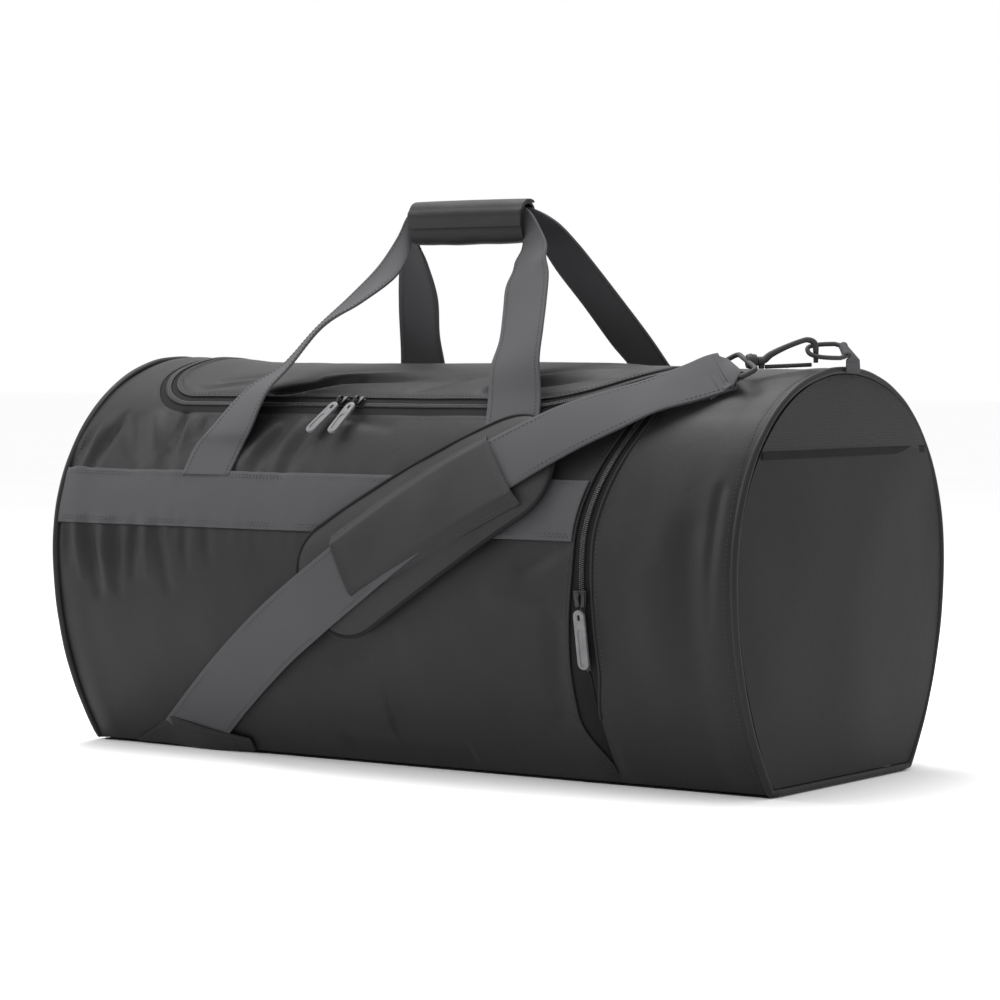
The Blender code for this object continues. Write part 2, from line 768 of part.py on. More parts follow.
def ring_and_tab():
    """The D-ring and the webbing tab that holds it at the top of the right end."""
    slant = HOOK_SIDE * math.cos(RING_TILT) + UP * math.sin(RING_TILT)
    fillet = 0.003
    ring = []
    for sign in (-1, 1):
        corner = [
            (fillet * (1 - math.cos(t)), sign * (RING_HALF - fillet + fillet * math.sin(t)))
            for t in (0.0, math.pi / 6, math.pi / 3, math.pi / 2)
        ]
        ring += reversed(corner) if sign < 0 else corner
    bow = RING_DEPTH - fillet
    for step in range(1, 16):
        t = math.pi * step / 16
        ring.append((fillet + bow * math.sin(t) ** 0.8, RING_HALF * math.cos(t)))
    wire("d_ring", [RING_BAR - HOOK_ALONG * a + slant * b for a, b in ring], RING_WIRE, "hardware", True)

    middle = Matrix.Translation((HALF_LENGTH + 0.0015, 0.007, 0.3278))
    plate = block("ring_tab", (0.0025, 0.022, 0.0195), middle, "webbing")
    loop_half = slant * 0.0060
    loop = rod("tab_loop", RING_BAR - loop_half, RING_BAR + loop_half, 0.0037, None, "cutters")
    bar_half = slant * 0.02
    bore = rod("tab_bore", RING_BAR - bar_half, RING_BAR + bar_half, RING_WIRE + 0.0003, None, "cutters")
    cut(plate, "UNION", loop)
    cut(plate, "DIFFERENCE", bore)


def hook_point(along, rise, across=0.0):
    """A point by the hook's own measures: back from the nose, up, and to the side."""
    return NOSE - HOOK_ALONG * along + UP * rise + HOOK_SIDE * across


def hook():
    """The swivel hook: the eye on the strap, the hook itself and its sprung gate."""
    tilt = math.radians(12)
    eye_side = HOOK_SIDE * math.cos(tilt) + UP * math.sin(tilt)
    near, far, half = HOOK_REACH + 0.0135, HOOK_REACH + 0.0265, 0.0280
    corners = ((near, -half), (far, -half), (far, half), (near, half))
    loop = []
    for k, (along, across) in enumerate(corners):
        before = Vector(corners[k - 1])
        after = Vector(corners[(k + 1) % 4])
        here = Vector((along, across))
        for target in (before, after):
            loop.append(here + (target - here).normalized() * 0.003)
    back = HOOK_ALONG * math.cos(EYE_DIP) + UP * math.sin(EYE_DIP)
    loop_points = [hook_point(near, 0.0) - back * (a - near) + eye_side * b for a, b in loop]
    eye = as_mesh(wire("hook_eye", loop_points, HOOK_WIRE, "hardware", True))
    barrel_ends = hook_point(HOOK_REACH + 0.0145, 0), hook_point(HOOK_REACH + 0.0062, 0)
    cut(eye, "UNION", rod("eye_barrel", *barrel_ends, 0.0042, None, "cutters"))

    arm = [
        hook_point(a, b)
        for a, b in (
            (HOOK_REACH + 0.0020, 0.0), (0.0400, 0.0020), (0.0355, 0.0055), (0.0240, 0.0110),
            (0.0110, 0.0158), (0.0060, 0.0165), (0.0018, 0.0148), (0.0002, 0.0110),
            (0.0, 0.0055), (0.0, -0.0010),
        )
    ]
    body = as_mesh(wire("hook_body", arm, HOOK_WIRE, "hardware"))
    knob_ends = hook_point(HOOK_REACH + 0.0057, 0), hook_point(HOOK_REACH, 0)
    cut(body, "UNION", rod("hook_knob", *knob_ends, 0.0036, None, "cutters"))
    lug_ends = hook_point(HOOK_REACH + 0.0024, -0.0056), hook_point(HOOK_REACH + 0.0024, 0.0010)
    cut(body, "UNION", rod("hook_lug", *lug_ends, 0.0022, None, "cutters"))
    gate_ends = hook_point(HOOK_REACH - 0.0006, -0.0040), hook_point(0.0034, -0.0036)
    rod("hook_gate", *gate_ends, 0.0013, "hardware", sides=12)


def main():
    """Build the whole bag."""
    clear_scene()
    collection("duffel_bag")
    collection("cutters")
    base()
    barrel_panels()
    divider()
    end_panels()
    lid()
    side_tapes()
    sliders()
    belts()
    handle("handle_front", -1)
    handle("handle_rear", 1)
    grip()
    strap()
    anchor_patch()
    pad()
    ring_and_tab()
    hook()


main()
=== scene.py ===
"""Barrel sports bag: its cloth, webbing, zips and hardware, modelled over the bag's fixed frame."""

import math

import bpy
from bpy.props import FloatProperty, FloatVectorProperty, PointerProperty
from mathutils import Matrix, Vector, noise


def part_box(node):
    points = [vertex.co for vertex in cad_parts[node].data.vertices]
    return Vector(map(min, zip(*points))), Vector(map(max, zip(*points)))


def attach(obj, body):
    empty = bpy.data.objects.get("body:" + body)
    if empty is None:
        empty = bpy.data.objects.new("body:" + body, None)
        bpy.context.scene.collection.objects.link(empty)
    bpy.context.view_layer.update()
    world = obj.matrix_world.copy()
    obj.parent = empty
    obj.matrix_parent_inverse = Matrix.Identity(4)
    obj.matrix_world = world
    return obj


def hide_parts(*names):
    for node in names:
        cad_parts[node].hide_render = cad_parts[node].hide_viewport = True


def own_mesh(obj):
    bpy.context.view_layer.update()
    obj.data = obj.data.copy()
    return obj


bl_info = {
    "name": "Barrel sports bag",
    "version": (1, 0, 0),
    "blender": (4, 5, 0),
    "location": "View3D > Sidebar > Bag",
    "description": "Models a zipped barrel bag with webbing handles and a hooked shoulder strap",
    "category": "Add Mesh",
}

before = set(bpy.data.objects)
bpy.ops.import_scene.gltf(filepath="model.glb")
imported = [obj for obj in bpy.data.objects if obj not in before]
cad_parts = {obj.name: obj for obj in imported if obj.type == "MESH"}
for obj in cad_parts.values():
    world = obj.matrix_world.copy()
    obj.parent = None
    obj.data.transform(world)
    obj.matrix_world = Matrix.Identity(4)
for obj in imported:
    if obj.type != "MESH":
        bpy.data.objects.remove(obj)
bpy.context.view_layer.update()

# Section of the barrel, as the frame has it
HALF_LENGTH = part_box("piping_right")[1].x
TOP_RADIUS = 0.163
SPRING_HEIGHT = 0.167
SIDE_RADIUS = 0.275
SIDE_ANGLE = math.asin(SPRING_HEIGHT / SIDE_RADIUS)
SIDE_ARC = SIDE_RADIUS * SIDE_ANGLE
GIRTH = 2 * SIDE_ARC + math.pi * TOP_RADIUS
BASE_HALF = SIDE_RADIUS * math.cos(SIDE_ANGLE) - (SIDE_RADIUS - TOP_RADIUS)
CROWN_DROP = 0.008
DROP_START = 0.130
DROP_RUN = 0.090

# Seams, belts and zips, placed by x and by the girth from the front base edge
PIPING_RADIUS = 0.003
PIPING_X = HALF_LENGTH - PIPING_RADIUS
BARREL_X = PIPING_X - PIPING_RADIUS + 0.0006
SEAM_LOW_X = 0.204
SEAM_LEAN = 0.022
SEAM_LEAN_START = 0.200
SEAM_LEAN_RUN = 0.130
BELT_LOW = 0.2035
BELT_HIGH = 0.2515
BELT_MIDDLE = (BELT_LOW + BELT_HIGH) / 2
MESH_SEAM = 0.281
END_BULGE = 0.0075
END_FLOOR = 0.0065
CLOTH_FOOT = 0.0024
BELT_LIFT = 0.0022
WEB_EDGE = 0.0004
THIN_EDGE = 0.0003
TAPE = 0.0075
SIDE_TAPE = 0.0095
TAPE_THICK = 0.0006
SIDE_ZIP = (0.100, 0.325)
SIDE_ZIP_END = 0.062
LID_LEFT = -0.281
LID_RIGHT = 0.197
LID_FRONT = -0.0975
LID_REAR = 0.100
LID_LEFT_CORNER = 0.045
LID_RIGHT_CORNER = 0.085
ZIP_GIRTH = 0.3225
TOOTH = 0.0016
PULL_THICK = 0.0024
SLIDER_SIZE = (0.0115, 0.0090, 0.0062)

# Handles and grip
GRIP_CENTRE = Vector((-0.0195, 0.0, 0.443))
GRIP_HALF = 0.0535
LEG_LEFT = -0.180
LEG_RIGHT = 0.128
HANDLE_Y = 0.0034

# Each handle's free legs, left then right: (centre, half span) from the cloth to the grip and back
LEGS = {
    -1: (
        (
            ((-0.167, -0.1335, 0.272), (0.0245, -0.004, 0.0)),
            ((-0.158, -0.1115, 0.3025), (0.0215, -0.0125, -0.001)),
            ((-0.143, -0.09, 0.324), (0.0182, -0.017, 0.0)),
            ((-0.126, -0.067, 0.356), (0.0178, -0.0175, 0.001)),
            ((-0.104, -0.047, 0.379), (0.0176, -0.0155, -0.003)),
            ((-0.0855, -0.028, 0.402), (0.016, -0.01, -0.005)),
            ((-0.0805, -0.012, 0.423), (0.0085, -0.0045, -0.0085)),
            ((-0.078, -0.0043, 0.4385), (0.0025, -0.0005, -0.0117)),
        ),
        (
            ((0.0415, -0.0043, 0.44), (0.003, 0.0, 0.0117)),
            ((0.0515, -0.011, 0.427), (0.01, -0.001, 0.008)),
            ((0.058, -0.021, 0.416), (0.0165, -0.002, 0.007)),
            ((0.0625, -0.03, 0.4065), (0.0195, -0.005, 0.006)),
            ((0.068, -0.041, 0.393), (0.0235, -0.004, 0.006)),
            ((0.0775, -0.058, 0.372), (0.024, -0.0045, 0.005)),
            ((0.088, -0.078, 0.349), (0.024, -0.0045, 0.005)),
            ((0.0945, -0.096, 0.3255), (0.0245, -0.0015, 0.004)),
            ((0.103, -0.1085, 0.2992), (0.025, 0.0, 0.001)),
            ((0.112, -0.125, 0.2753), (0.025, 0.0, 0.0)),
        ),
    ),
    1: (
        (
            ((-0.159, 0.129, 0.271), (0.025, 0.0, 0.0)),
            ((-0.15, 0.112, 0.301), (0.0248, 0.0, -0.004)),
            ((-0.139, 0.096, 0.329), (0.024, 0.0, -0.008)),
            ((-0.1215, 0.067, 0.362), (0.0216, 0.0, -0.0125)),
            ((-0.1, 0.037, 0.394), (0.02, 0.0, -0.0125)),
            ((-0.0865, 0.015, 0.42), (0.012, 0.0, -0.0095)),
            ((-0.0785, 0.0045, 0.438), (0.003, 0.0, -0.0117)),
        ),
        (
            ((0.042, 0.0045, 0.4412), (0.003, 0.0, 0.0117)),
            ((0.053, 0.011, 0.434), (0.011, -0.003, 0.008)),
            ((0.0575, 0.022, 0.423), (0.018, -0.003, 0.003)),
            ((0.062, 0.04, 0.4045), (0.023, -0.0065, 0.002)),
            ((0.073, 0.062, 0.377), (0.0235, -0.008, 0.0027)),
            ((0.084, 0.088, 0.3455), (0.0238, -0.0071, 0.0025)),
            ((0.0935, 0.108, 0.32), (0.024, -0.0065, 0.0)),
            ((0.108, 0.128, 0.283), (0.025, 0.0, 0.0)),
        ),
    ),
}

# Shoulder strap, pad and hardware
STRAP_ROUTE = (
    (-0.2300, 0.0120, 0.0030),
    (-0.1600, 0.0705, 0.0050),
    (-0.1000, 0.1160, 0.0100),
    (-0.0580, 0.1435, 0.0134),
    (-0.0150, 0.1715, 0.0136),
    (0.0300, 0.2010, 0.0136),
    (0.0750, 0.2295, 0.0135),
    (0.1230, 0.2600, 0.0135),
    (0.1700, 0.2905, 0.0132),
    (0.2050, 0.3137, 0.0120),
    (0.2320, 0.3338, 0.0112),
    (0.2560, 0.3515, 0.0108),
    (0.2745, 0.3698, 0.0112),
)
PAD_CENTRE = (0.0512, 0.2132)
PAD_ANGLE = math.radians(32)
PAD_SIZE = (0.258, 0.091)
PAD_FLOOR = 0.0046
PAD_THICK = 0.0060
SLEEVE_LEFT = ((-0.0066, 0.1515), (-0.0315, 0.1998))
SLEEVE_RIGHT = ((0.1484, 0.2290), (0.0974, 0.2833))
SLEEVE_LIFT = 0.0158
HOOK_HEADING = math.radians(46)
RING_BAR = Vector((0.3395, 0.0, 0.3360))
RING_TILT = math.radians(35)
RING_HALF = 0.0095
RING_DEPTH = 0.030
RING_WIRE = 0.0018
NOSE_BACK = 0.0235
HOOK_DROP = 0.008
HOOK_REACH = 0.0410
HOOK_WIRE = 0.0020
EYE_DIP = math.radians(27)
EYE_TILT = math.radians(12)
UP = Vector((0.0, 0.0, 1.0))
HOOK_ALONG = Vector((math.cos(HOOK_HEADING), math.sin(HOOK_HEADING), 0.0))
HOOK_SIDE = Vector((-math.sin(HOOK_HEADING), math.cos(HOOK_HEADING), 0.0))
NOSE = RING_BAR - NOSE_BACK * HOOK_ALONG - HOOK_DROP * UP
EYE_BACK = HOOK_ALONG * math.cos(EYE_DIP) + UP * math.sin(EYE_DIP)
EYE_SIDE = HOOK_SIDE * math.cos(EYE_TILT) + UP * math.sin(EYE_TILT)

# Folds pressed into the front cloth: (start x, girth), (end x, girth), half width, depth
FRONT_FOLDS = (
    ((-0.322, 0.284), (-0.332, 0.254), 0.0042, -0.0044),
    ((-0.299, 0.303), (-0.309, 0.254), 0.0044, -0.0052),
    ((-0.312, 0.296), (-0.318, 0.256), 0.005, 0.0026),
    ((-0.284, 0.3), (-0.262, 0.256), 0.0075, -0.0036),
    ((-0.262, 0.306), (-0.243, 0.262), 0.008, 0.0034),
    ((-0.233, 0.309), (-0.23, 0.268), 0.0042, -0.0054),
    ((-0.221, 0.302), (-0.22, 0.272), 0.0045, 0.0026),
    ((-0.206, 0.3), (-0.206, 0.276), 0.0045, -0.0034),
    ((-0.128, 0.296), (-0.146, 0.26), 0.005, 0.0032),
    ((-0.119, 0.29), (-0.132, 0.256), 0.0048, -0.0034),
    ((-0.104, 0.3), (-0.111, 0.262), 0.006, 0.0024),
    ((-0.09, 0.294), (-0.098, 0.254), 0.0065, -0.0034),
    ((-0.058, 0.306), (-0.012, 0.298), 0.006, -0.0022),
    ((-0.302, 0.203), (-0.29, 0.146), 0.0055, -0.005),
    ((-0.314, 0.203), (-0.307, 0.158), 0.004, 0.0022),
    ((-0.285, 0.203), (-0.278, 0.152), 0.006, 0.003),
    ((-0.271, 0.203), (-0.268, 0.15), 0.0055, -0.004),
    ((-0.25, 0.203), (-0.25, 0.162), 0.004, -0.0036),
    ((-0.236, 0.203), (-0.234, 0.166), 0.005, 0.002),
    ((-0.223, 0.203), (-0.212, 0.152), 0.0055, -0.0028),
    ((-0.326, 0.203), (-0.323, 0.17), 0.0036, -0.003),
    ((-0.196, 0.203), (-0.191, 0.172), 0.0045, -0.002),
    ((-0.172, 0.203), (-0.166, 0.176), 0.005, -0.0014),
    ((0.318, 0.248), (0.316, 0.146), 0.0045, -0.003),
    ((0.297, 0.214), (0.3, 0.085), 0.013, -0.0046),
    ((0.262, 0.175), (0.27, 0.07), 0.016, 0.0024),
    ((0.15, 0.182), (0.186, 0.2), 0.008, -0.003),
    ((0.12, 0.16), (0.18, 0.15), 0.009, 0.0018),
    ((0.176, 0.14), (0.17, 0.062), 0.01, -0.0034),
    ((-0.12, 0.06), (0.06, 0.045), 0.022, 0.0024),
    ((-0.05, 0.022), (0.12, 0.018), 0.01, -0.0026),
    ((-0.04, 0.098), (0.02, 0.118), 0.008, -0.002),
)
LID_FOLDS = (
    ((-0.15, 0.338), (-0.086, 0.366), 0.006, -0.0056),
    ((-0.098, 0.362), (0.02, 0.372), 0.005, -0.004),
    ((-0.12, 0.368), (-0.02, 0.384), 0.006, 0.0022),
    ((-0.24, 0.346), (-0.185, 0.36), 0.0055, -0.0026),
    ((-0.23, 0.364), (-0.18, 0.378), 0.0055, -0.002),
    ((-0.222, 0.354), (-0.176, 0.368), 0.005, 0.002),
    ((-0.01, 0.345), (0.04, 0.376), 0.006, -0.0018),
    ((0.06, 0.34), (0.17, 0.386), 0.0055, -0.0046),
    ((0.06, 0.352), (0.16, 0.402), 0.005, 0.003),
    ((0.06, 0.366), (0.15, 0.416), 0.0055, -0.0036),
)


# ---------------------------------------------------------------- settings

class BagSizes(bpy.types.PropertyGroup):
    """Sizes that a maker of the bag would change."""

    cloth: FloatProperty(
        name="Cloth thickness", description="Thickness of the coated cloth", default=0.0012, unit="LENGTH"
    )
    webbing: FloatProperty(
        name="Webbing width", description="Width of the handles and the strap", default=0.050, unit="LENGTH"
    )
    webbing_thick: FloatProperty(
        name="Webbing thickness", description="Thickness of the webbing", default=0.0018, unit="LENGTH"
    )
    weave: FloatProperty(
        name="Weave pitch", description="Distance between the cloth's threads",
        default=0.0008, unit="LENGTH"
    )
    stitch: FloatProperty(
        name="Stitch length", description="Length of one stitch with its gap", default=0.0036, unit="LENGTH"
    )
    slack: FloatProperty(
        name="Slack", description="Depth of the folds in the cloth, 1 as drawn",
        default=1.0, min=0.0, max=2.0
    )


class BagColours(bpy.types.PropertyGroup):
    """Colours of the bag's materials."""

    cloth: FloatVectorProperty(
        name="Cloth", description="Coated cloth of the shell",
        subtype="COLOR", default=(0.011, 0.011, 0.0117)
    )
    # End cloth: the shell cloth made darker as painted shade for the end panels, which face away from the
    # lights; the base cloth, vent mesh and lining take their colours from it
    end_cloth: FloatVectorProperty(
        name="End cloth", description="Cloth of the end panels",
        subtype="COLOR", default=(0.0075, 0.0075, 0.008)
    )
    webbing: FloatVectorProperty(
        name="Webbing", description="Handles, belts and strap",
        subtype="COLOR", default=(0.0095, 0.0095, 0.01)
    )
    pull: FloatVectorProperty(
        name="Pulls", description="Moulded zip pulls", subtype="COLOR", default=(0.110, 0.110, 0.114)
    )
    hardware: FloatVectorProperty(
        name="Hardware", description="Hook, eye and ring", subtype="COLOR", default=(0.008, 0.008, 0.008)
    )


def sizes():
    """The sizes set in the sidebar."""
    return bpy.context.scene.bag_sizes


def colours():
    """The colours set in the sidebar."""
    return bpy.context.scene.bag_colours


# ---------------------------------------------------------------- shape of the cloth

def smooth_step(value):
    """0 below 0, 1 above 1, and a soft ramp between."""
    value = min(max(value, 0.0), 1.0)
    return value * value * (3.0 - 2.0 * value)


def skin(x, girth, lift=0.0):
    """The point on the barrel at x and girth, raised by lift along the outward normal."""
    front = min(girth, GIRTH - girth)
    if front < SIDE_ARC:
        turn = SIDE_ANGLE - front / SIDE_RADIUS
        y = SIDE_RADIUS - TOP_RADIUS - (SIDE_RADIUS + lift) * math.cos(turn)
        z = SPRING_HEIGHT - (SIDE_RADIUS + lift) * math.sin(turn)
    else:
        turn = (front - SIDE_ARC) / TOP_RADIUS
        y = -(TOP_RADIUS + lift) * math.cos(turn)
        z = SPRING_HEIGHT + (TOP_RADIUS + lift) * math.sin(turn)
        z -= CROWN_DROP * smooth_step((x - DROP_START) / DROP_RUN) * math.sin(turn) ** 4
    return Vector((x, y if girth <= GIRTH / 2 else -y, z))


def outward(x, girth):
    """The plain barrel's outward normal at x and girth."""
    return (skin(x, girth, 0.001) - skin(x, girth)).normalized()


def seam_x(girth):
    """Where the pocket's seam crosses the barrel."""
    front = min(girth, GIRTH - girth)
    return SEAM_LOW_X + SEAM_LEAN * smooth_step((front - SEAM_LEAN_START) / SEAM_LEAN_RUN)


def girth_at(y):
    """The girth of a point on the round top, from its y."""
    return SIDE_ARC + TOP_RADIUS * math.acos(-y / TOP_RADIUS)


def fold(x, girth, start, end, width, depth):
    """The depth of one fold at a point: a soft furrow or ridge that fades at its ends."""
    along = Vector(end) - Vector(start)
    t = min(max((Vector((x, girth)) - Vector(start)).dot(along) / along.length_squared, 0.0), 1.0)
    away = (Vector((x, girth)) - Vector(start) - along * t).length
    return depth * math.exp(-((away / width) ** 2)) * (0.45 + 0.55 * math.sin(math.pi * min(0.15 + t, 1.0)))


def relief(x, girth):
    """How far the cloth stands off the plain barrel: folds, puckers at the belts and slack."""
    front = min(girth, GIRTH - girth)
    on_front = girth <= GIRTH / 2
    here = x if on_front else -x * 0.9 - 0.02
    depth = 0.0
    for shape in FRONT_FOLDS:
        if abs(shape[0][0] - here) < 0.12 and abs(shape[0][1] - front) < 0.12:
            depth += fold(here, front, *shape)
    edge = min(abs(front - BELT_LOW), abs(front - BELT_HIGH))
    pucker = math.exp(-((edge / 0.016) ** 2)) * (0.35 + 0.65 * smooth_step((-x - 0.02) / 0.2))
    depth += 0.0009 * pucker * noise.noise(Vector((x * 95, front * 9, 1.7)))
    depth -= 0.0008 * math.exp(-(((front - BELT_MIDDLE) / 0.030) ** 2))
    depth += 0.0020 * noise.noise(Vector((x * 8, girth * 9, 4.2)))
    depth += 0.0007 * noise.noise(Vector((x * 26, girth * 17, 8.1)))
    seam = abs(x - seam_x(girth))
    calm = 1.0 - 0.9 * math.exp(-((seam / 0.011) ** 2))
    if on_front:
        calm *= 1.0 - 0.9 * math.exp(-(((front - ZIP_GIRTH) / 0.010) ** 2))
    depth = depth * calm * sizes().slack
    depth -= 0.0016 * math.exp(-((seam / 0.007) ** 2)) * (0.0 if SIDE_ZIP[0] < girth < SIDE_ZIP[1] else 1.0)
    end = BARREL_X - abs(x)
    depth -= 0.0012 * math.exp(-((end / 0.005) ** 2))
    depth += 0.0012 * math.exp(-(((end - 0.018) / 0.012) ** 2))
    foot = smooth_step(front / 0.018)
    return depth * foot


def cloth_point(x, girth, lift=0.0):
    """A point on the cloth with its folds."""
    return skin(x, girth, lift + relief(x, girth))


def through(points, steps):
    """A smooth curve through points, with steps stretches between each two of them."""
    points = [Vector(point) for point in points]
    padded = [2 * points[0] - points[1], *points, 2 * points[-1] - points[-2]]
    curve = []
    for k in range(len(points) - 1):
        before, start, end, after = padded[k : k + 4]
        for step in range(steps):
            t = step / steps
            curve.append(
                0.5
                * (
                    2 * start
                    + (end - before) * t
                    + (2 * before - 5 * start + 4 * end - after) * t**2
                    + (3 * start - before - 3 * end + after) * t**3
                )
            )
    curve.append(points[-1])
    return curve


def sample(curve, t):
    """The point at t, from 0 to 1, on a list of close points."""
    place = min(max(t, 0.0), 1.0) * (len(curve) - 1)
    k = min(int(place), len(curve) - 2)
    return curve[k].lerp(curve[k + 1], place - k)


# ---------------------------------------------------------------- materials

def new_material(name):
    """An empty Principled material, and its shader."""
    made = bpy.data.materials.new(name)
    made.use_nodes = True
    return made, made.node_tree.nodes["Principled BSDF"]


def add_node(tree, kind, **inputs):
    """A node with some of its inputs set by name."""
    node = tree.nodes.new(kind)
    for key, value in inputs.items():
        node.inputs[key.replace("_", " ")].default_value = value
    return node


def mottled(name, colour, spread, scale):
    """A material of two near shades mixed by a soft noise: itself, its shader, tree and coordinates."""
    made, shader = new_material(name)
    tree = made.node_tree
    place = tree.nodes.new("ShaderNodeTexCoord")
    clouds = add_node(tree, "ShaderNodeTexNoise", Scale=scale, Detail=5.0, Roughness=0.6)
    tree.links.new(place.outputs["Object"], clouds.inputs["Vector"])
    ramp = tree.nodes.new("ShaderNodeValToRGB")
    for element, position, share in zip(ramp.color_ramp.elements, (0.3, 0.7), (1 - spread, 1 + spread)):
        element.position = position
        element.color = (*[value * share for value in colour], 1.0)
    tree.links.new(clouds.outputs["Fac"], ramp.inputs["Fac"])
    tree.links.new(ramp.outputs["Color"], shader.inputs["Base Color"])
    return made, shader, tree, place


def thread_bands(tree, coordinates, direction, pitch):
    """Parallel threads at a pitch, as a 0 to 1 wave."""
    bands = add_node(tree, "ShaderNodeTexWave", Scale=math.pi / (10.0 * pitch), Distortion=0.0)
    bands.bands_direction = direction
    bands.wave_profile = "SIN"
    tree.links.new(coordinates, bands.inputs["Vector"])
    return bands.outputs["Fac"]


def bumped(tree, shader, heights):
    """Chain bump nodes for (height socket, distance) pairs into the shader's normal."""
    last = None
    for height, distance in heights:
        bump = add_node(tree, "ShaderNodeBump", Strength=1.0, Distance=distance)
        tree.links.new(height, bump.inputs["Height"])
        if last is not None:
            tree.links.new(last.outputs["Normal"], bump.inputs["Normal"])
        last = bump
    tree.links.new(last.outputs["Normal"], shader.inputs["Normal"])


def coated_cloth(name, colour, roughness=0.52, crinkle=0.00035, sheen=0.02):
    """Coated plain-weave cloth: fine threads both ways and a faint crinkle."""
    made, shader, tree, place = mottled(name, colour, 0.10, 14.0)
    warp = thread_bands(tree, place.outputs["UV"], "X", sizes().weave)
    weft = thread_bands(tree, place.outputs["UV"], "Y", sizes().weave)
    threads = tree.nodes.new("ShaderNodeMath")
    threads.operation = "MULTIPLY"
    tree.links.new(warp, threads.inputs[0])
    tree.links.new(weft, threads.inputs[1])
    crumple = add_node(tree, "ShaderNodeTexNoise", Scale=70.0, Detail=4.0, Roughness=0.55)
    tree.links.new(place.outputs["Object"], crumple.inputs["Vector"])
    bumped(tree, shader, ((crumple.outputs["Fac"], crinkle), (threads.outputs[0], 0.00006)))
    shader.inputs["Roughness"].default_value = roughness
    shader.inputs["Specular IOR Level"].default_value = 0.20
    shader.inputs["Sheen Weight"].default_value = sheen
    shader.inputs["Sheen Roughness"].default_value = 0.4
    return made


def ribbed_webbing(name, colour, rib=0.0022):
    """Matt webbing: ribs along its length, crossed by the weft."""
    made, shader, tree, place = mottled(name, colour, 0.14, 30.0)
    ribs = thread_bands(tree, place.outputs["UV"], "X", rib)
    weft = thread_bands(tree, place.outputs["UV"], "Y", 0.0011)
    fuzz = add_node(tree, "ShaderNodeTexNoise", Scale=900.0, Detail=2.0)
    tree.links.new(place.outputs["Object"], fuzz.inputs["Vector"])
    bumped(tree, shader, ((ribs, 0.00006), (weft, 0.00004), (fuzz.outputs["Fac"], 0.00003)))
    shader.inputs["Roughness"].default_value = 0.80
    shader.inputs["Specular IOR Level"].default_value = 0.14
    return made


def knitted_mesh(name, colour):
    """Open mesh for the vent: small round holes in offset rows, painted near black inside as painted shade
    of the dark space seen through them.
    """
    made, shader = new_material(name)
    tree = made.node_tree
    place = tree.nodes.new("ShaderNodeTexCoord")
    holes = add_node(tree, "ShaderNodeTexVoronoi", Scale=330.0, Randomness=0.15)
    holes.voronoi_dimensions = "2D"
    tree.links.new(place.outputs["UV"], holes.inputs["Vector"])
    edge = tree.nodes.new("ShaderNodeValToRGB")
    # The holes get a near-black painted shade; the mesh between them takes the given colour
    edge.color_ramp.elements[0].position = 0.30
    edge.color_ramp.elements[0].color = (0.002, 0.002, 0.002, 1.0)
    edge.color_ramp.elements[1].position = 0.46
    edge.color_ramp.elements[1].color = (*colour, 1.0)
    tree.links.new(holes.outputs["Distance"], edge.inputs["Fac"])
    tree.links.new(edge.outputs["Color"], shader.inputs["Base Color"])
    bumped(tree, shader, ((holes.outputs["Distance"], 0.0006),))
    shader.inputs["Roughness"].default_value = 0.75
    return made


def moulded(
    name, colour, roughness, grain=0.00005, metallic=0.0, spread=0.18, patches=160.0, speckles=1400.0
):
    """Moulded or cast hardware, or thread, with a fine grain."""
    made, shader, tree, place = mottled(name, colour, spread, patches)
    speckle = add_node(tree, "ShaderNodeTexNoise", Scale=speckles, Detail=2.0)
    tree.links.new(place.outputs["Object"], speckle.inputs["Vector"])
    bumped(tree, shader, ((speckle.outputs["Fac"], grain),))
    shader.inputs["Roughness"].default_value = roughness
    shader.inputs["Metallic"].default_value = metallic
    return made


def studio_paper(name, shade):
    """Pale backdrop paper with a barely visible tooth."""
    made, shader, _, _ = mottled(name, (shade, shade, shade), 0.01, 3.0)
    shader.inputs["Roughness"].default_value = 0.9
    shader.inputs["Specular IOR Level"].default_value = 0.1
    return made


def material(name):
    """One of the bag's materials, made the first time it is asked for."""
    found = bpy.data.materials.get(name)
    if found:
        return found
    shades = colours()
    # The lining is the end colour, which holds painted shade, made darker again
    dark = tuple(value * 0.7 for value in shades.end_cloth)
    makers = {
        "shell cloth": lambda: coated_cloth(name, shades.cloth),
        # Base cloth and end cloth take the end colour: the shell cloth darkened as painted shade
        "base cloth": lambda: coated_cloth(name, shades.end_cloth, 0.66),
        "end cloth in painted shade": lambda: coated_cloth(name, shades.end_cloth, 0.60, 0.00025, 0.02),
        "lining cloth": lambda: coated_cloth(name, dark, 0.70, 0.00050, 0.05),
        "pad cloth": lambda: coated_cloth(name, tuple(v * 1.5 for v in shades.cloth), 0.52, 0.00030, 0.04),
        "vent mesh": lambda: knitted_mesh(name, shades.end_cloth),
        "webbing": lambda: ribbed_webbing(name, shades.webbing),
        "binding tape": lambda: ribbed_webbing(name, shades.webbing, 0.0012),
        "zip tape": lambda: ribbed_webbing(name, tuple(v * 0.75 for v in shades.webbing), 0.0009),
        "zip coil": lambda: moulded(name, (0.012, 0.012, 0.012), 0.38),
        "zip metal": lambda: moulded(name, (0.030, 0.030, 0.031), 0.28, 0.00002, 0.85),
        "moulded pull": lambda: moulded(name, shades.pull, 0.46),
        "hardware": lambda: moulded(name, shades.hardware, 0.36),
        "hook and loop": lambda: ribbed_webbing(name, (0.006, 0.006, 0.006), 0.0007),
        "thread": lambda: moulded(name, (0.040, 0.040, 0.042), 0.6, 0.00005, 0.0, 0.25, 400.0, 2500.0),
        "stiff board": lambda: moulded(name, (0.02, 0.02, 0.02), 0.7, 0.0001),
    }
    return makers[name]()


# ---------------------------------------------------------------- building

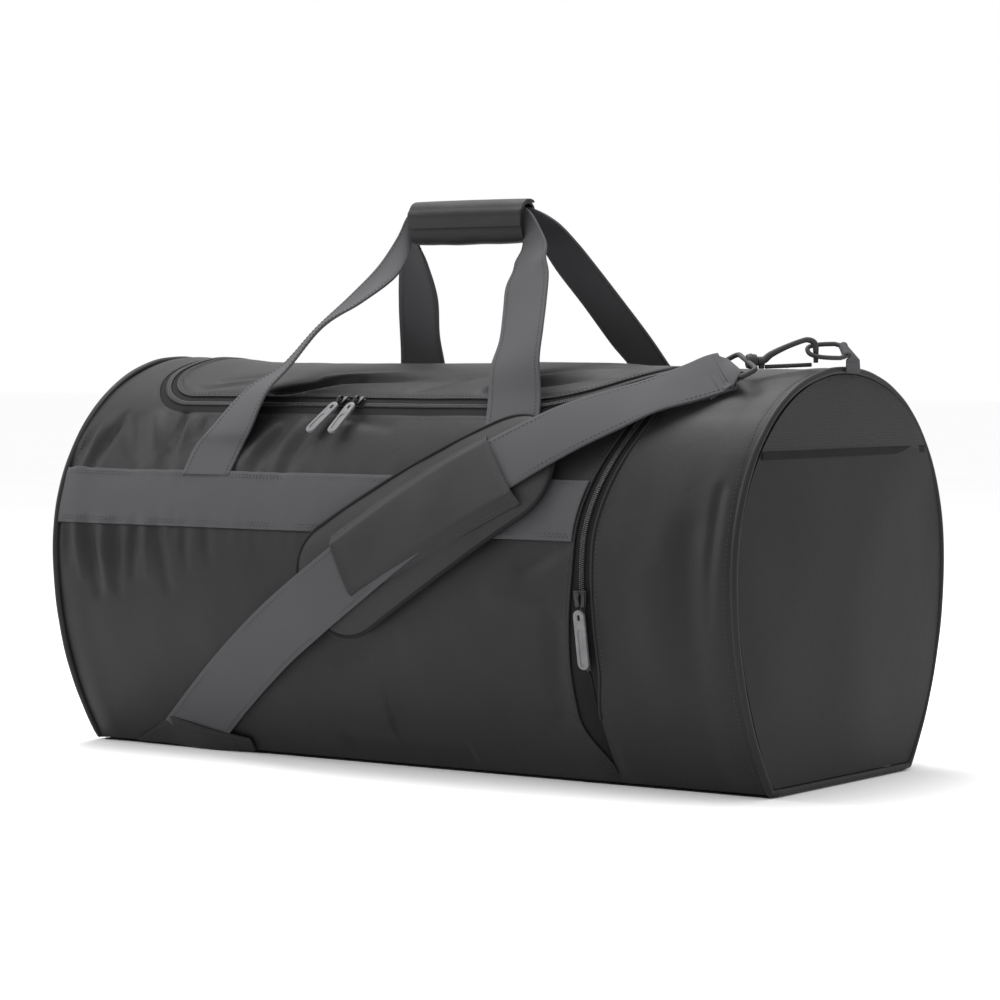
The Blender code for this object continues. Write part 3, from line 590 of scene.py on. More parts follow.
def enlist(made, body, finish, nodes=()):
    """Give a finished piece its material and its body, and hide the frame pieces it stands for."""
    made.data.materials.clear()
    made.data.materials.append(material(finish))
    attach(made, body)
    if nodes:
        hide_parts(*nodes)
    return made


def only(made):
    """Select one object and make it active."""
    bpy.ops.object.select_all(action="DESELECT")
    made.select_set(True)
    bpy.context.view_layer.objects.active = made
    return made


def apply_modifiers(made):
    """Apply every modifier on an object."""
    only(made)
    for modifier in list(made.modifiers):
        bpy.ops.object.modifier_apply(modifier=modifier.name)


def mesh_object(name, vertices, faces, uvs=None):
    """A smooth-shaded mesh object; uvs holds one pair, in metres, for each vertex."""
    mesh = bpy.data.meshes.new(name)
    mesh.from_pydata([tuple(v) for v in vertices], [], faces)
    if uvs:
        layer = mesh.uv_layers.new(name="cloth")
        for loop in mesh.loops:
            layer.data[loop.index].uv = uvs[loop.vertex_index]
    mesh.update()
    made = bpy.data.objects.new(name, mesh)
    bpy.context.scene.collection.objects.link(made)
    mesh.shade_smooth()
    return made


def woven_sheet(name, point, columns, rows, size, thickness, side=-1.0, rounding=0.0, closed=False):
    """A sheet of cloth or webbing: point(u, v) over a grid, given its thickness."""
    wide = columns if closed else columns + 1
    vertices = [point(i / columns, j / rows) for j in range(rows + 1) for i in range(wide)]
    uvs = [(i / columns * size[0], j / rows * size[1]) for j in range(rows + 1) for i in range(wide)]
    faces = []
    for j in range(rows):
        for i in range(columns):
            ahead = (i + 1) % wide
            faces.append((j * wide + i, j * wide + ahead, (j + 1) * wide + ahead, (j + 1) * wide + i))
    made = mesh_object(name, vertices, faces, uvs)
    if thickness:
        solid = made.modifiers.new("thickness", "SOLIDIFY")
        solid.thickness = thickness
        solid.offset = side
        solid.use_even_offset = True
    if rounding:
        bevel = made.modifiers.new("edges", "BEVEL")
        bevel.width = rounding
        bevel.segments = 2
        bevel.angle_limit = math.radians(50)
    apply_modifiers(made)
    only(made)
    bpy.ops.object.shade_smooth_by_angle(angle=math.radians(50))
    return made


def tube(name, points, radius, sides=10, closed=False):
    """A round tube along points, with domed ends when it is open; radius may be a list."""
    count = len(points)
    radii = radius if isinstance(radius, list) else [radius] * count
    rings = []
    side = None
    for k, point in enumerate(points):
        before = points[k - 1] if k or closed else points[k]
        after = points[(k + 1) % count] if k < count - 1 or closed else points[k]
        along = (after - before).normalized()
        if side is None:
            side = along.orthogonal().normalized()
        side = (side - along * side.dot(along)).normalized()
        other = along.cross(side)
        rings.append([
            point + (side * math.cos(a) + other * math.sin(a)) * radii[k]
            for a in (2 * math.pi * s / sides for s in range(sides))
        ])
    vertices = [v for ring in rings for v in ring]
    faces = []
    for k in range(count if closed else count - 1):
        nxt = (k + 1) % count
        shift = 0
        if closed and nxt == 0:
            gaps = [(rings[0][s] - rings[-1][0]).length for s in range(sides)]
            shift = gaps.index(min(gaps))
        for s in range(sides):
            a, b = k * sides + s, k * sides + (s + 1) % sides
            c, d = nxt * sides + (s + 1 + shift) % sides, nxt * sides + (s + shift) % sides
            faces.append((a, b, c, d))
    if not closed:
        faces.append(tuple(reversed(range(sides))))
        faces.append(tuple((count - 1) * sides + s for s in range(sides)))
    return mesh_object(name, vertices, faces)


def join(name, parts):
    """Join objects into the first one, under a name."""
    bpy.ops.object.select_all(action="DESELECT")
    for part in parts:
        part.select_set(True)
    bpy.context.view_layer.objects.active = parts[0]
    if len(parts) > 1:
        bpy.ops.object.join()
    made = bpy.context.view_layer.objects.active
    made.name = name
    return made


def rounded_box(name, size, place, rounding, taper=1.0):
    """A box modelled by hand: scaled, narrowed at its far end, bevelled and set in place."""
    bpy.ops.object.select_all(action="DESELECT")
    bpy.ops.mesh.primitive_cube_add(size=1.0)
    made = bpy.context.active_object
    made.name = name
    made.scale = size
    bpy.ops.object.transform_apply(location=False, rotation=False, scale=True)
    if taper != 1.0:
        for vertex in made.data.vertices:
            if vertex.co.y > 0:
                vertex.co.x *= taper
    bevel = made.modifiers.new("edges", "BEVEL")
    bevel.width = rounding
    bevel.segments = 3
    bevel.limit_method = "NONE"
    apply_modifiers(made)
    made.data.transform(place)
    bpy.ops.object.shade_smooth_by_angle(angle=math.radians(40))
    return made


def rod(name, start, end, radius, rounding=0.0004, sides=28):
    """A cylinder between two points, with rounded rims."""
    along = end - start
    bpy.ops.object.select_all(action="DESELECT")
    bpy.ops.mesh.primitive_cylinder_add(vertices=sides, radius=radius, depth=along.length)
    made = bpy.context.active_object
    made.name = name
    bevel = made.modifiers.new("rims", "BEVEL")
    bevel.width = rounding
    bevel.segments = 2
    bevel.angle_limit = math.radians(60)
    apply_modifiers(made)
    turn = along.to_track_quat("Z", "Y").to_matrix().to_4x4()
    made.data.transform(Matrix.Translation((start + end) / 2) @ turn)
    bpy.ops.object.shade_smooth_by_angle(angle=math.radians(40))
    return made


def flat_shape(name, rings, thick, rounding, place):
    """A plate cut to an outline, with holes for further rings and rounded edges."""
    curve = bpy.data.curves.new(name, "CURVE")
    curve.dimensions = "2D"
    curve.fill_mode = "BOTH"
    curve.extrude = thick / 2 - rounding
    curve.bevel_depth = rounding
    curve.bevel_resolution = 2
    for ring in rings:
        spline = curve.splines.new("POLY")
        spline.points.add(len(ring) - 1)
        for knot, (a, b) in zip(spline.points, ring):
            knot.co = (a, b, 0.0, 1.0)
        spline.use_cyclic_u = True
    made = bpy.data.objects.new(name, curve)
    bpy.context.scene.collection.objects.link(made)
    only(made)
    bpy.ops.object.convert(target="MESH")
    made = bpy.context.active_object
    bpy.ops.object.mode_set(mode="EDIT")
    bpy.ops.mesh.select_all(action="SELECT")
    bpy.ops.mesh.remove_doubles(threshold=0.00001)
    bpy.ops.mesh.normals_make_consistent(inside=False)
    bpy.ops.object.mode_set(mode="OBJECT")
    made.data.transform(place)
    bpy.ops.object.shade_smooth_by_angle(angle=math.radians(40))
    return made


def stadium(width, length, steps=8, shift=0.0):
    """A slot outline along local Y, round at both ends."""
    radius = width / 2
    ring = []
    for middle, first in ((length / 2 - radius, 0.0), (-length / 2 + radius, math.pi)):
        for k in range(steps + 1):
            angle = first + math.pi * k / steps
            ring.append((radius * math.cos(angle), shift + middle + radius * math.sin(angle)))
    return ring


def stitches(name, runs, body, lift=0.0002, gauge=0.00036):
    """Rows of stitches: each run is a list of (point, outward normal) on the sewn surface."""
    vertices, faces = [], []
    pitch = sizes().stitch
    for run in runs:
        length = 0.0
        marks = [0.0]
        for (a, _), (b, _) in zip(run, run[1:]):
            length += (b - a).length
            marks.append(length)
        count = int(length / pitch)
        k = 0
        for n in range(count):
            ends = []
            for reach in (n * pitch + pitch * 0.12, n * pitch + pitch * 0.82):
                while k < len(marks) - 2 and marks[k + 1] < reach:
                    k += 1
                t = (reach - marks[k]) / max(marks[k + 1] - marks[k], 1e-9)
                ends.append((run[k][0].lerp(run[k + 1][0], t), run[k][1]))
            (start, out), (end, _) = ends
            along = (end - start).normalized()
            side = along.cross(out).normalized() * gauge
            top = out * (lift + gauge)
            low = out * (lift - gauge)
            first = len(vertices)
            middle = (start + end) / 2
            vertices += [
                start + out * (lift - gauge), middle + side + out * lift, middle + top,
                middle - side + out * lift, middle + low, end + out * (lift - gauge),
            ]
            for a, b in ((1, 2), (2, 3), (3, 4), (4, 1)):
                faces.append((first, first + b, first + a))
                faces.append((first + 5, first + a, first + b))
    made = mesh_object(name, vertices, faces)
    return enlist(made, body, "thread")


def surface_run(route, lift):
    """A stitch run over the cloth: route is a list of (x, girth)."""
    run = []
    for x, girth in route:
        run.append((cloth_point(x, girth, lift), outward(x, girth)))
    return run


# ---------------------------------------------------------------- shell

def zip_inset(girth):
    """How far the cloth stops short of the pocket's seam to leave room for the zip."""
    opened = smooth_step((girth - SIDE_ZIP_END) / 0.045)
    return (SIDE_TAPE - 0.0012) * opened * (1.0 if girth < SIDE_ZIP[1] + 0.02 else 0.0)


def main_inset(girth):
    """The same on the main bag's side, where the cloth draws back toward the foot of the zip."""
    spread = smooth_step((0.200 - girth) / 0.110) * smooth_step((girth - 0.010) / 0.055)
    closed = 1 - smooth_step((girth - SIDE_ZIP_END) / 0.045)
    return zip_inset(girth) + 0.0105 * spread + 0.0083 * spread * closed


def lay_panel(name, left, right, girths, columns, rows, node):
    """A panel of the barrel between two edges given as functions of the girth."""
    low, high = girths

    def point(u, v):
        girth = low + v * (high - low)
        x = left(girth) + u * (right(girth) - left(girth))
        return cloth_point(x, girth)

    made = woven_sheet(name, point, columns, rows, (right(low) - left(low), high - low), sizes().cloth)
    return enlist(made, "bag", "shell cloth", (node,))


def lid_outline(grow, rear, arc_steps=24, side_steps=24, front_steps=120):
    """The lid's outline seen from above, rear left to rear right, as (x, y) points."""
    front = LID_FRONT - grow
    left, right = LID_LEFT - grow, LID_RIGHT + grow
    left_round, right_round = LID_LEFT_CORNER + grow, LID_RIGHT_CORNER + grow
    flat = right - right_round - left - left_round
    points = [(left, rear + (front + left_round - rear) * k / side_steps) for k in range(side_steps)]
    for k in range(arc_steps):
        a = math.pi + math.pi / 2 * k / arc_steps
        points.append((left + left_round * (1 + math.cos(a)), front + left_round * (1 + math.sin(a))))
    points += [(left + left_round + flat * k / front_steps, front) for k in range(front_steps)]
    for k in range(arc_steps):
        a = 1.5 * math.pi + math.pi / 2 * k / arc_steps
        away = right_round * math.cos(a)
        points.append((right - right_round + away, front + right_round * (1 + math.sin(a))))
    for k in range(side_steps + 1):
        points.append((right, front + right_round + (rear - front - right_round) * k / side_steps))
    return points


def top_panel():
    """The panel round the lid's opening, from belt to belt."""
    arc, side, front, back = 24, 24, 120, 120
    inner = lid_outline(2 * TAPE + 0.0004, LID_REAR + 0.0008, arc, side, front)
    right_end, left_end = inner[-1], inner[0]
    for k in range(1, back):
        inner.append((right_end[0] + (left_end[0] - right_end[0]) * k / back, right_end[1]))
    low, high = BELT_MIDDLE, GIRTH - BELT_MIDDLE

    def far_right(girth):
        return seam_x(girth) - zip_inset(girth) - 0.0002

    def spread(count, start, end):
        return [start + (end - start) * k / count for k in range(count)]

    half = arc // 2
    outer = [(-BARREL_X, g) for g in spread(side + half, high, low)]
    outer += [(x, low) for x in spread(front + 2 * half, -BARREL_X, far_right(low))]
    outer += [(far_right(g), g) for g in spread(side + half, low, high)]
    outer += [(x, high) for x in spread(back, far_right(high), -BARREL_X)]
    ring = [(x, girth_at(y)) for x, y in inner]
    count = len(ring)
    rows = 26

    def point(u, v):
        k = round(u * count) % count
        x0, g0 = ring[k]
        x1, g1 = outer[k]
        t = v * (0.45 + 0.55 * v)
        return cloth_point(x0 + (x1 - x0) * t, g0 + (g1 - g0) * t)

    made = woven_sheet("top_cloth", point, count, rows, (1.3, 0.1), sizes().cloth, side=1.0, closed=True)
    mesh = made.data
    layer = mesh.uv_layers.active
    for loop in mesh.loops:
        co = mesh.vertices[loop.vertex_index].co
        layer.data[loop.index].uv = (co.x, TOP_RADIUS * math.atan2(co.z - SPRING_HEIGHT, -co.y))
    return enlist(made, "bag", "shell cloth", ("top_panel",))


class BAG_OT_shell(bpy.types.Operator):
    """Lay the cloth panels of the barrel and the base"""

    bl_idname = "bag.shell"
    bl_label = "Shell cloth"

    def execute(self, context):
        lay_panel(
            "front_cloth", lambda g: -BARREL_X, lambda g: seam_x(g) - main_inset(g) - 0.0002,
            (CLOTH_FOOT, BELT_MIDDLE), 200, 84, "front_panel",
        )
        lay_panel(
            "rear_cloth", lambda g: -BARREL_X, lambda g: seam_x(g) - 0.0002,
            (GIRTH - BELT_MIDDLE, GIRTH - CLOTH_FOOT), 180, 80, "rear_panel",
        )
        lay_panel(
            "pocket_cloth", lambda g: seam_x(g) + zip_inset(g) + 0.0002, lambda g: BARREL_X,
            (CLOTH_FOOT, GIRTH - CLOTH_FOOT), 52, 300, "pocket_panel",
        )
        top_panel()
        low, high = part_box("base_panel")

        def under(u, v):
            x, y = low.x + (high.x - low.x) * v, high.y + (low.y - high.y) * u
            slack = 0.0005 * noise.noise(Vector((x * 14, y * 14, 3.0)))
            return Vector((x, y, max(low.z, 0.0002) + abs(slack)))

        made = woven_sheet("base_cloth", under, 60, 120, (high.y - low.y, high.x - low.x), sizes().cloth)
        enlist(made, "bag", "base cloth", ("base_panel",))
        low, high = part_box("base_board")
        made = rounded_box("base_stiffener", high - low, Matrix.Translation((low + high) / 2), 0.0008)
        enlist(made, "bag", "stiff board", ("base_board",))
        return {"FINISHED"}


# ---------------------------------------------------------------- ends and piping

def end_cloth(name, x, girths, rows, facing, finish, node):
    """An end panel, or a part of one, slightly full, with its section from the barrel's."""
    low, high = girths

    def point(u, v):
        girth = low + v * (high - low)
        wall = skin(x, girth, -0.0042)
        y = wall.y * (1 - 2 * u)
        z = max(wall.z, END_FLOOR)
        full = (1 - (y / 0.165) ** 2) * (1 - ((z - 0.165) / 0.168) ** 2)
        slack = 0.0016 * noise.noise(Vector((y * 12, z * 10, x * 9))) * min(full * 3, 1)
        bulge = END_BULGE * max(full, 0.0) + slack
        return Vector((x + facing * bulge, y * facing, z))

    made = woven_sheet(name, point, 80, rows, (0.32, high - low), 0.0012, side=-facing)
    return enlist(made, "bag", finish, (node,))


def piping(name, x, node):
    """The bound cord round one end of the barrel."""
    ring = []
    steps = 150
    for k in range(steps + 1):
        girth = 0.004 + (GIRTH - 0.008) * k / steps
        ring.append(skin(x, girth, -0.001 + 0.0004 * noise.noise(Vector((girth * 40, x, 0.0)))))
    foot = BASE_HALF - 0.003
    for k in range(1, 40):
        ring.append(Vector((x, foot - 2 * foot * k / 40, PIPING_RADIUS)))
    for point in ring:
        point.z = max(point.z, PIPING_RADIUS)
    made = tube(name, ring, PIPING_RADIUS, 12, closed=True)
    return enlist(made, "bag", "shell cloth", (node,))


class BAG_OT_ends(bpy.types.Operator):
    """Close the two ends, with the vent mesh and the piping"""

    bl_idname = "bag.ends"
    bl_label = "End panels"

    def execute(self, context):
        x = HALF_LENGTH - 0.0022
        top = GIRTH / 2 - 0.003
        # End panels and vent take the darker end colour, which is painted shade
        for name, facing, girths, rows, finish, node in (
            ("left_end_cloth", -1, (0.004, top), 90, "end cloth in painted shade", "left_end_panel"),
            ("right_end_cloth", 1, (0.004, MESH_SEAM), 70, "end cloth in painted shade", "right_end_panel"),
            ("right_vent", 1, (MESH_SEAM, top), 46, "vent mesh", "right_end_mesh"),
        ):
            end_cloth(name, facing * x, girths, rows, facing, finish, node)
        piping("left_piping", -PIPING_X, "piping_left")
        piping("right_piping", PIPING_X, "piping_right")
        seam = skin(x, MESH_SEAM, -0.006)
        width = abs(seam.y)

        def band(u, v):
            y = -width + 2 * width * v
            full = (1 - (y / 0.165) ** 2) * (1 - ((seam.z - 0.165) / 0.168) ** 2)
            return Vector((x + 0.0008 + END_BULGE * full, y, seam.z - 0.003 + 0.006 * u))

        size = (0.006, 2 * width)
        made = woven_sheet("vent_seam_tape", band, 4, 60, size, 0.0008, side=1.0, rounding=0.0002)
        enlist(made, "bag", "binding tape")
        return {"FINISHED"}


# ---------------------------------------------------------------- lid and zips

def outline_strip(name, near, far, lift_near, lift_far, rear):
    """A strip that follows the lid's outline between two distances from the lid's edge."""
    inside, outside = lid_outline(near, rear), lid_outline(far, rear)
    count = len(inside) - 1

    def point(u, v):
        k = min(round(v * count), count)
        x = inside[k][0] + (outside[k][0] - inside[k][0]) * u
        y = inside[k][1] + (outside[k][1] - inside[k][1]) * u
        return cloth_point(x, girth_at(y), lift_near + (lift_far - lift_near) * u)

    return woven_sheet(name, point, 8, count, (abs(far - near), 0.88), TAPE_THICK, side=1.0)


def coil(name, route, side, body):
    """One half of a coil zip: a row of rounded teeth along route, a list of (point, out, across)."""
    length = sum((b[0] - a[0]).length for a, b in zip(route, route[1:]))
    teeth = int(length / TOOTH)
    vertices, faces = [], []
    marks = [0.0]
    for a, b in zip(route, route[1:]):
        marks.append(marks[-1] + (b[0] - a[0]).length)
    k = 0
    for n in range(teeth):
        reach = (n + (0.5 if side > 0 else 0.0)) * TOOTH
        while k < len(marks) - 2 and marks[k + 1] < reach:
            k += 1
        t = (reach - marks[k]) / max(marks[k + 1] - marks[k], 1e-9)
        here = route[k][0].lerp(route[k + 1][0], t)
        along = (route[k + 1][0] - route[k][0]).normalized() * TOOTH * 0.30
        out, across = route[k][1], route[k][2] * side
        first = len(vertices)
        for reach_across, rise in ((-0.0003, 0.0004), (0.0006, 0.0011), (0.0018, 0.0008), (0.0022, 0.0001)):
            middle = here + across * reach_across + out * rise
            vertices += [middle - along, middle + along]
        for j in range(3):
            a = first + 2 * j
            faces.append((a, a + 1, a + 3, a + 2) if side > 0 else (a, a + 2, a + 3, a + 1))
    made = mesh_object(name, vertices, faces)
    solid = made.modifiers.new("thickness", "SOLIDIFY")
    solid.thickness = 0.0005
    apply_modifiers(made)
    return enlist(made, body, "zip coil")


def lid_route():
    """The zip's centre line round the lid: (point, outward normal, direction away from the lid)."""
    points = lid_outline(TAPE, LID_REAR - 0.004)
    inner = lid_outline(TAPE - 0.002, LID_REAR - 0.004)
    route = []
    for (x, y), (x0, y0) in zip(points, inner):
        here = cloth_point(x, girth_at(y), -0.0002)
        toward = cloth_point(x0, girth_at(y0), -0.0002)
        route.append((here, outward(x, girth_at(y)), (here - toward).normalized()))
    return route


def lid_cloth():
    """The lid: slack cloth from its front edge to its rear seam."""
    outline = lid_outline(0.0, LID_REAR)
    front = [p for p in outline if p[1] < LID_FRONT + max(LID_LEFT_CORNER, LID_RIGHT_CORNER) + 1e-6]
    edge = [p for k, p in enumerate(front) if k == 0 or p[0] > front[k - 1][0] + 1e-5]
    columns = len(edge) - 1
    rear = girth_at(LID_REAR)

    def point(u, v):
        x, y = edge[min(round(u * columns), columns)]
        low = girth_at(y)
        girth = low + (rear - low) * v
        away = min(girth - low, rear - girth, x - LID_LEFT, LID_RIGHT - x)
        slack = smooth_step(away / 0.045)
        extra = sum(fold(x, girth, *shape) for shape in LID_FOLDS) - 0.0035 * slack
        hem = 0.0009 * smooth_step(1 - away / 0.004) - 0.0006 * math.exp(-(((away - 0.0065) / 0.0012) ** 2))
        return cloth_point(x, girth, extra * min(1.0, away / 0.012 + 0.15) + hem)

    made = woven_sheet("lid_cloth", point, columns, 90, (LID_RIGHT - LID_LEFT, 0.214), sizes().cloth)
    return enlist(made, "lid", "shell cloth", ("lid_panel",))


class BAG_OT_lid(bpy.types.Operator):
    """Lay the lid and its zip tapes and teeth"""

    bl_idname = "bag.lid"
    bl_label = "Lid and its zip"

    def execute(self, context):
        lid_cloth()
        rear = LID_REAR - 0.004
        for name, body, near, far, lifts, node in (
            ("lid_tape", "lid", -0.0030, TAPE - 0.0006, (-0.0014, -0.0006), "lid_zip_tape"),
            ("body_tape", "bag", TAPE + 0.0006, 2 * TAPE + 0.0030, (-0.0006, -0.0014), "body_zip_tape"),
        ):
            enlist(outline_strip(name, near, far, *lifts, rear), body, "zip tape", (node,))
        route = lid_route()
        coil("lid_teeth", route, -1, "lid")
        coil("body_teeth", route, 1, "bag")
        return {"FINISHED"}


def frame_at(x, girth, lift=0.0):
    """Axes on the barrel: local X along the bag, local Y down the cloth, local Z outward."""
    origin = skin(x, girth, lift)
    down = (skin(x, girth - 0.001) - skin(x, girth + 0.001)).normalized()
    axes = Matrix((Vector((-1.0, 0.0, 0.0)), down, outward(x, girth))).transposed().to_4x4()
    return Matrix.Translation(origin) @ axes


def slider_body(name, place, width, length, height, node):
    """A zip slider: two shaped plates, a neck between them and a bridge that holds the pull."""
    plate = height * 0.30
    parts = []
    for level in (0.0012, 0.0012 + height * 0.42):
        parts.append(rounded_box(
            name + "_plate", (width, length, plate), place @ Matrix.Translation((0, 0, level + plate / 2)),
            plate * 0.45, 0.72,
        ))
    parts.append(rounded_box(
        name + "_neck", (width * 0.30, length * 0.45, height * 0.55),
        place @ Matrix.Translation((0, -length * 0.18, 0.0012 + height * 0.35)), 0.0004,
    ))
    top = 0.0012 + height * 0.70
    arch = []
    for t in (k / 14 for k in range(15)):
        rise = height * 0.42 * math.sin(math.pi * t) ** 0.6
        arch.append(place @ Vector((0, length * (-0.36 + 0.78 * t), top - 0.0004 + rise)))
    parts.append(tube(name + "_bridge", arch, width * 0.10, 10))
    made = join(name, parts)
    return enlist(made, node, "zip metal", (node,))


def moulded_pull(name, place, width, length, lean, spread, pivot, node):
    """A moulded pull: a raised rim round a recessed blade, with an eye at its top."""
    thick = PULL_THICK
    swing = Matrix.Translation(pivot) @ Matrix.Rotation(lean, 4, "X") @ Matrix.Rotation(spread, 4, "Z")
    set_down = place @ swing @ Matrix.Translation((0, length / 2 - thick / 2, 0))
    outer = stadium(width, length)
    eye = stadium(width * 0.36, width * 0.62, 6, -length / 2 + width * 0.62)
    recess_length = length - width * 1.85
    shift = length / 2 - recess_length / 2 - width * 0.26
    recess = stadium(width * 0.56, recess_length, 8, shift)
    rim = flat_shape(name + "_rim", [outer, eye, recess], thick, 0.0004, set_down)
    grown = stadium(width * 0.60, recess_length + width * 0.04, 8, shift)
    blade = flat_shape(name + "_blade", [grown], thick * 0.50, 0.0002, set_down)
    made = join(name, [rim, blade])
    return enlist(made, node, "moulded pull", (node,))


def zip_tapes_side():
    """The end pocket's two tapes with their teeth."""
    for name, side, node in (
        ("side_tape_main", -1, "side_tape_body"), ("side_tape_end", 1, "side_tape_pocket")
    ):

        def point(u, v, side=side):
            low = 0.006 if side < 0 else SIDE_ZIP_END
            girth = low + v * (SIDE_ZIP[1] - low)
            near, far = 0.0006, (main_inset(girth) if side < 0 else SIDE_TAPE) + 0.0030
            away = near + (far - near) * (u if side > 0 else 1 - u)
            dip = -0.0006 - 0.0010 * smooth_step((away - far + 0.0055) / 0.005)
            return cloth_point(seam_x(girth) + side * away, girth, dip)

        made = woven_sheet(name, point, 12, 120, (SIDE_TAPE, SIDE_ZIP[1] - SIDE_ZIP[0]), TAPE_THICK)
        enlist(made, "bag", "zip tape", (node,))
    route = []
    for k in range(91):
        girth = SIDE_ZIP[0] + 0.004 + (SIDE_ZIP[1] - SIDE_ZIP[0] - 0.008) * k / 90
        here = cloth_point(seam_x(girth), girth, -0.0002)
        route.append((here, outward(SEAM_LOW_X, girth), Vector((1.0, 0.0, 0.0))))
    coil("side_teeth_main", route, -1, "bag")
    coil("side_teeth_end", route, 1, "bag")


def welt(name, edge, girths, body="bag"):
    """A folded cloth edge along the zip, standing a little proud."""
    low, high = girths
    line = []
    for k in range(121):
        girth = low + (high - low) * k / 120
        line.append(cloth_point(edge(girth), girth, 0.0002))
    made = tube(name, line, 0.0011, 8)
    return enlist(made, body, "shell cloth")


class BAG_OT_zips(bpy.types.Operator):
    """Model the pocket's zip, the three sliders and their pulls"""

    bl_idname = "bag.zips"
    bl_label = "Zips"

    def execute(self, context):
        zip_tapes_side()
        welt("pocket_welt", lambda g: seam_x(g) + zip_inset(g) + 0.0004, (SIDE_ZIP_END, SIDE_ZIP[1]))
        welt("main_welt", lambda g: seam_x(g) - main_inset(g) - 0.0004, (0.012, SIDE_ZIP[1]))
        for zone, end, x, girth, size, pull_size, lean, spread in (
            ("lid", "_left", -0.0715, ZIP_GIRTH, SLIDER_SIZE, (0.0085, 0.034), -7, -22),
            ("lid", "_right", -0.0545, ZIP_GIRTH, SLIDER_SIZE, (0.0085, 0.034), -4, -7),
            ("side", "", SEAM_LOW_X, 0.1605, (0.0110, 0.0130, 0.0050), (0.0090, 0.046), -6, 0),
        ):
            place = frame_at(x, girth)
            pivot = Vector((0, size[1] / 2 + PULL_THICK / 2 + 0.0020, size[2] + 0.0008))
            slider_body(f"{zone}_slider_body{end}", place, *size, f"{zone}_slider{end}")
            moulded_pull(
                f"{zone}_pull_tab{end}", place, *pull_size, math.radians(lean), math.radians(spread), pivot,
                f"{zone}_pull{end}",
            )
        return {"FINISHED"}


# ---------------------------------------------------------------- belts, handles and grip

def belt(name, rear, node):
    """One horizontal belt, sewn flat to the cloth."""

    def point(u, v):
        girth = BELT_LOW + (BELT_HIGH - BELT_LOW) * u
        girth = GIRTH - girth if rear else girth
        x = -BARREL_X + v * (seam_x(girth) - SIDE_TAPE - 0.001 + BARREL_X)
        wave = 0.0006 * noise.noise(Vector((x * 30, u * 2, 5.0)))
        return cloth_point(x, girth, BELT_LIFT + wave)

    width = BELT_HIGH - BELT_LOW
    side = 1.0 if not rear else -1.0
    thick = sizes().webbing_thick
    made = woven_sheet(name, point, 12, 180, (width, 0.53), thick, side=side, rounding=WEB_EDGE)
    return enlist(made, "bag", "webbing", (node,))


class BAG_OT_belts(bpy.types.Operator):
    """Sew the belts to the front and the rear"""

    bl_idname = "bag.belts"
    bl_label = "Belts"

    def execute(self, context):
        belt("front_belt", False, "belt_front")
        belt("rear_belt", True, "belt_rear")
        return {"FINISHED"}


def handle_stations(side):
    """Centre and half span of one handle's webbing, from foot to foot."""
    foot = BELT_HIGH - 0.0040
    flat = Vector((sizes().webbing / 2, 0.0, 0.0))
    upright = Vector((0.0, 0.0, -0.0122))
    level = Vector((0.0, side * HANDLE_Y, 0.0))
    lying = 0.0021

    def on_cloth(x, girth):
        point = skin(x, girth, lying)
        return Vector((x, -side * point.y, point.z))

    stations = [(on_cloth(LEG_LEFT, foot), flat), (on_cloth(LEG_LEFT + 0.004, foot + 0.026), flat)]
    stations += [(Vector(place), Vector(span)) for place, span in LEGS[side][0]]
    for x in (0.004 - GRIP_HALF, 0.0, GRIP_HALF - 0.004):
        stations.append((GRIP_CENTRE + level + Vector((x, 0.0, 0.0)), upright))
    stations += [(Vector(place), -Vector(span)) for place, span in LEGS[side][1]]
    stations += [(on_cloth(LEG_RIGHT - 0.007, foot + 0.026), -flat), (on_cloth(LEG_RIGHT, foot), -flat)]
    return stations


def collapse(made):
    """Give a handle or grip piece its own copy of its mesh."""
    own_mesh(made)


def handle(name, side, node):
    """One carrying handle of flat webbing, twisted where it enters the grip."""
    stations = handle_stations(side)
    centres = through([centre for centre, _ in stations], 12)
    spans = through([span for _, span in stations], 12)
    rows = len(centres) - 1

    def point(u, v):
        k = min(round(v * rows), rows)
        across = 2 * u - 1
        here = centres[k] + spans[k] * across
        ahead = centres[min(k + 1, rows)] - centres[max(k - 1, 0)]
        out = ahead.cross(spans[k]).normalized()
        cup = 0.0022 * math.sin(math.pi * v) * (1 - across * across)
        grip_share = smooth_step((abs(here.x - GRIP_CENTRE.x) - GRIP_HALF) / 0.03)
        return here + out * cup * grip_share

    made = woven_sheet(name, point, 12, rows, (sizes().webbing, 0.72), sizes().webbing_thick, 0.0, WEB_EDGE)
    enlist(made, "bag", "webbing", (node,))
    runs = []
    for edge in (0.08, 0.92):
        for face in (-1, 1):
            run = []
            for k in range(rows + 1):
                ahead = centres[min(k + 1, rows)] - centres[max(k - 1, 0)]
                out = ahead.cross(spans[k]).normalized() * face
                run.append((centres[k] + spans[k] * (2 * edge - 1) + out * 0.0010, out))
            runs.append(run)
    sewn = stitches(name + "_stitches", runs, "bag")
    collapse(made)
    collapse(sewn)


class BAG_OT_handles(bpy.types.Operator):
    """Model the two carrying handles"""

    bl_idname = "bag.handles"
    bl_label = "Carrying handles"

    def execute(self, context):
        handle("front_handle", -1, "handle_front")
        handle("rear_handle", 1, "handle_rear")
        return {"FINISHED"}


def grip_section(angle, half_y, half_z):
    """A point on the wrap's rounded section at an angle, as (y, z)."""
    power = 0.88
    c, s = math.cos(angle), math.sin(angle)
    return half_y * math.copysign(abs(c) ** power, c), half_z * math.copysign(abs(s) ** power, s)


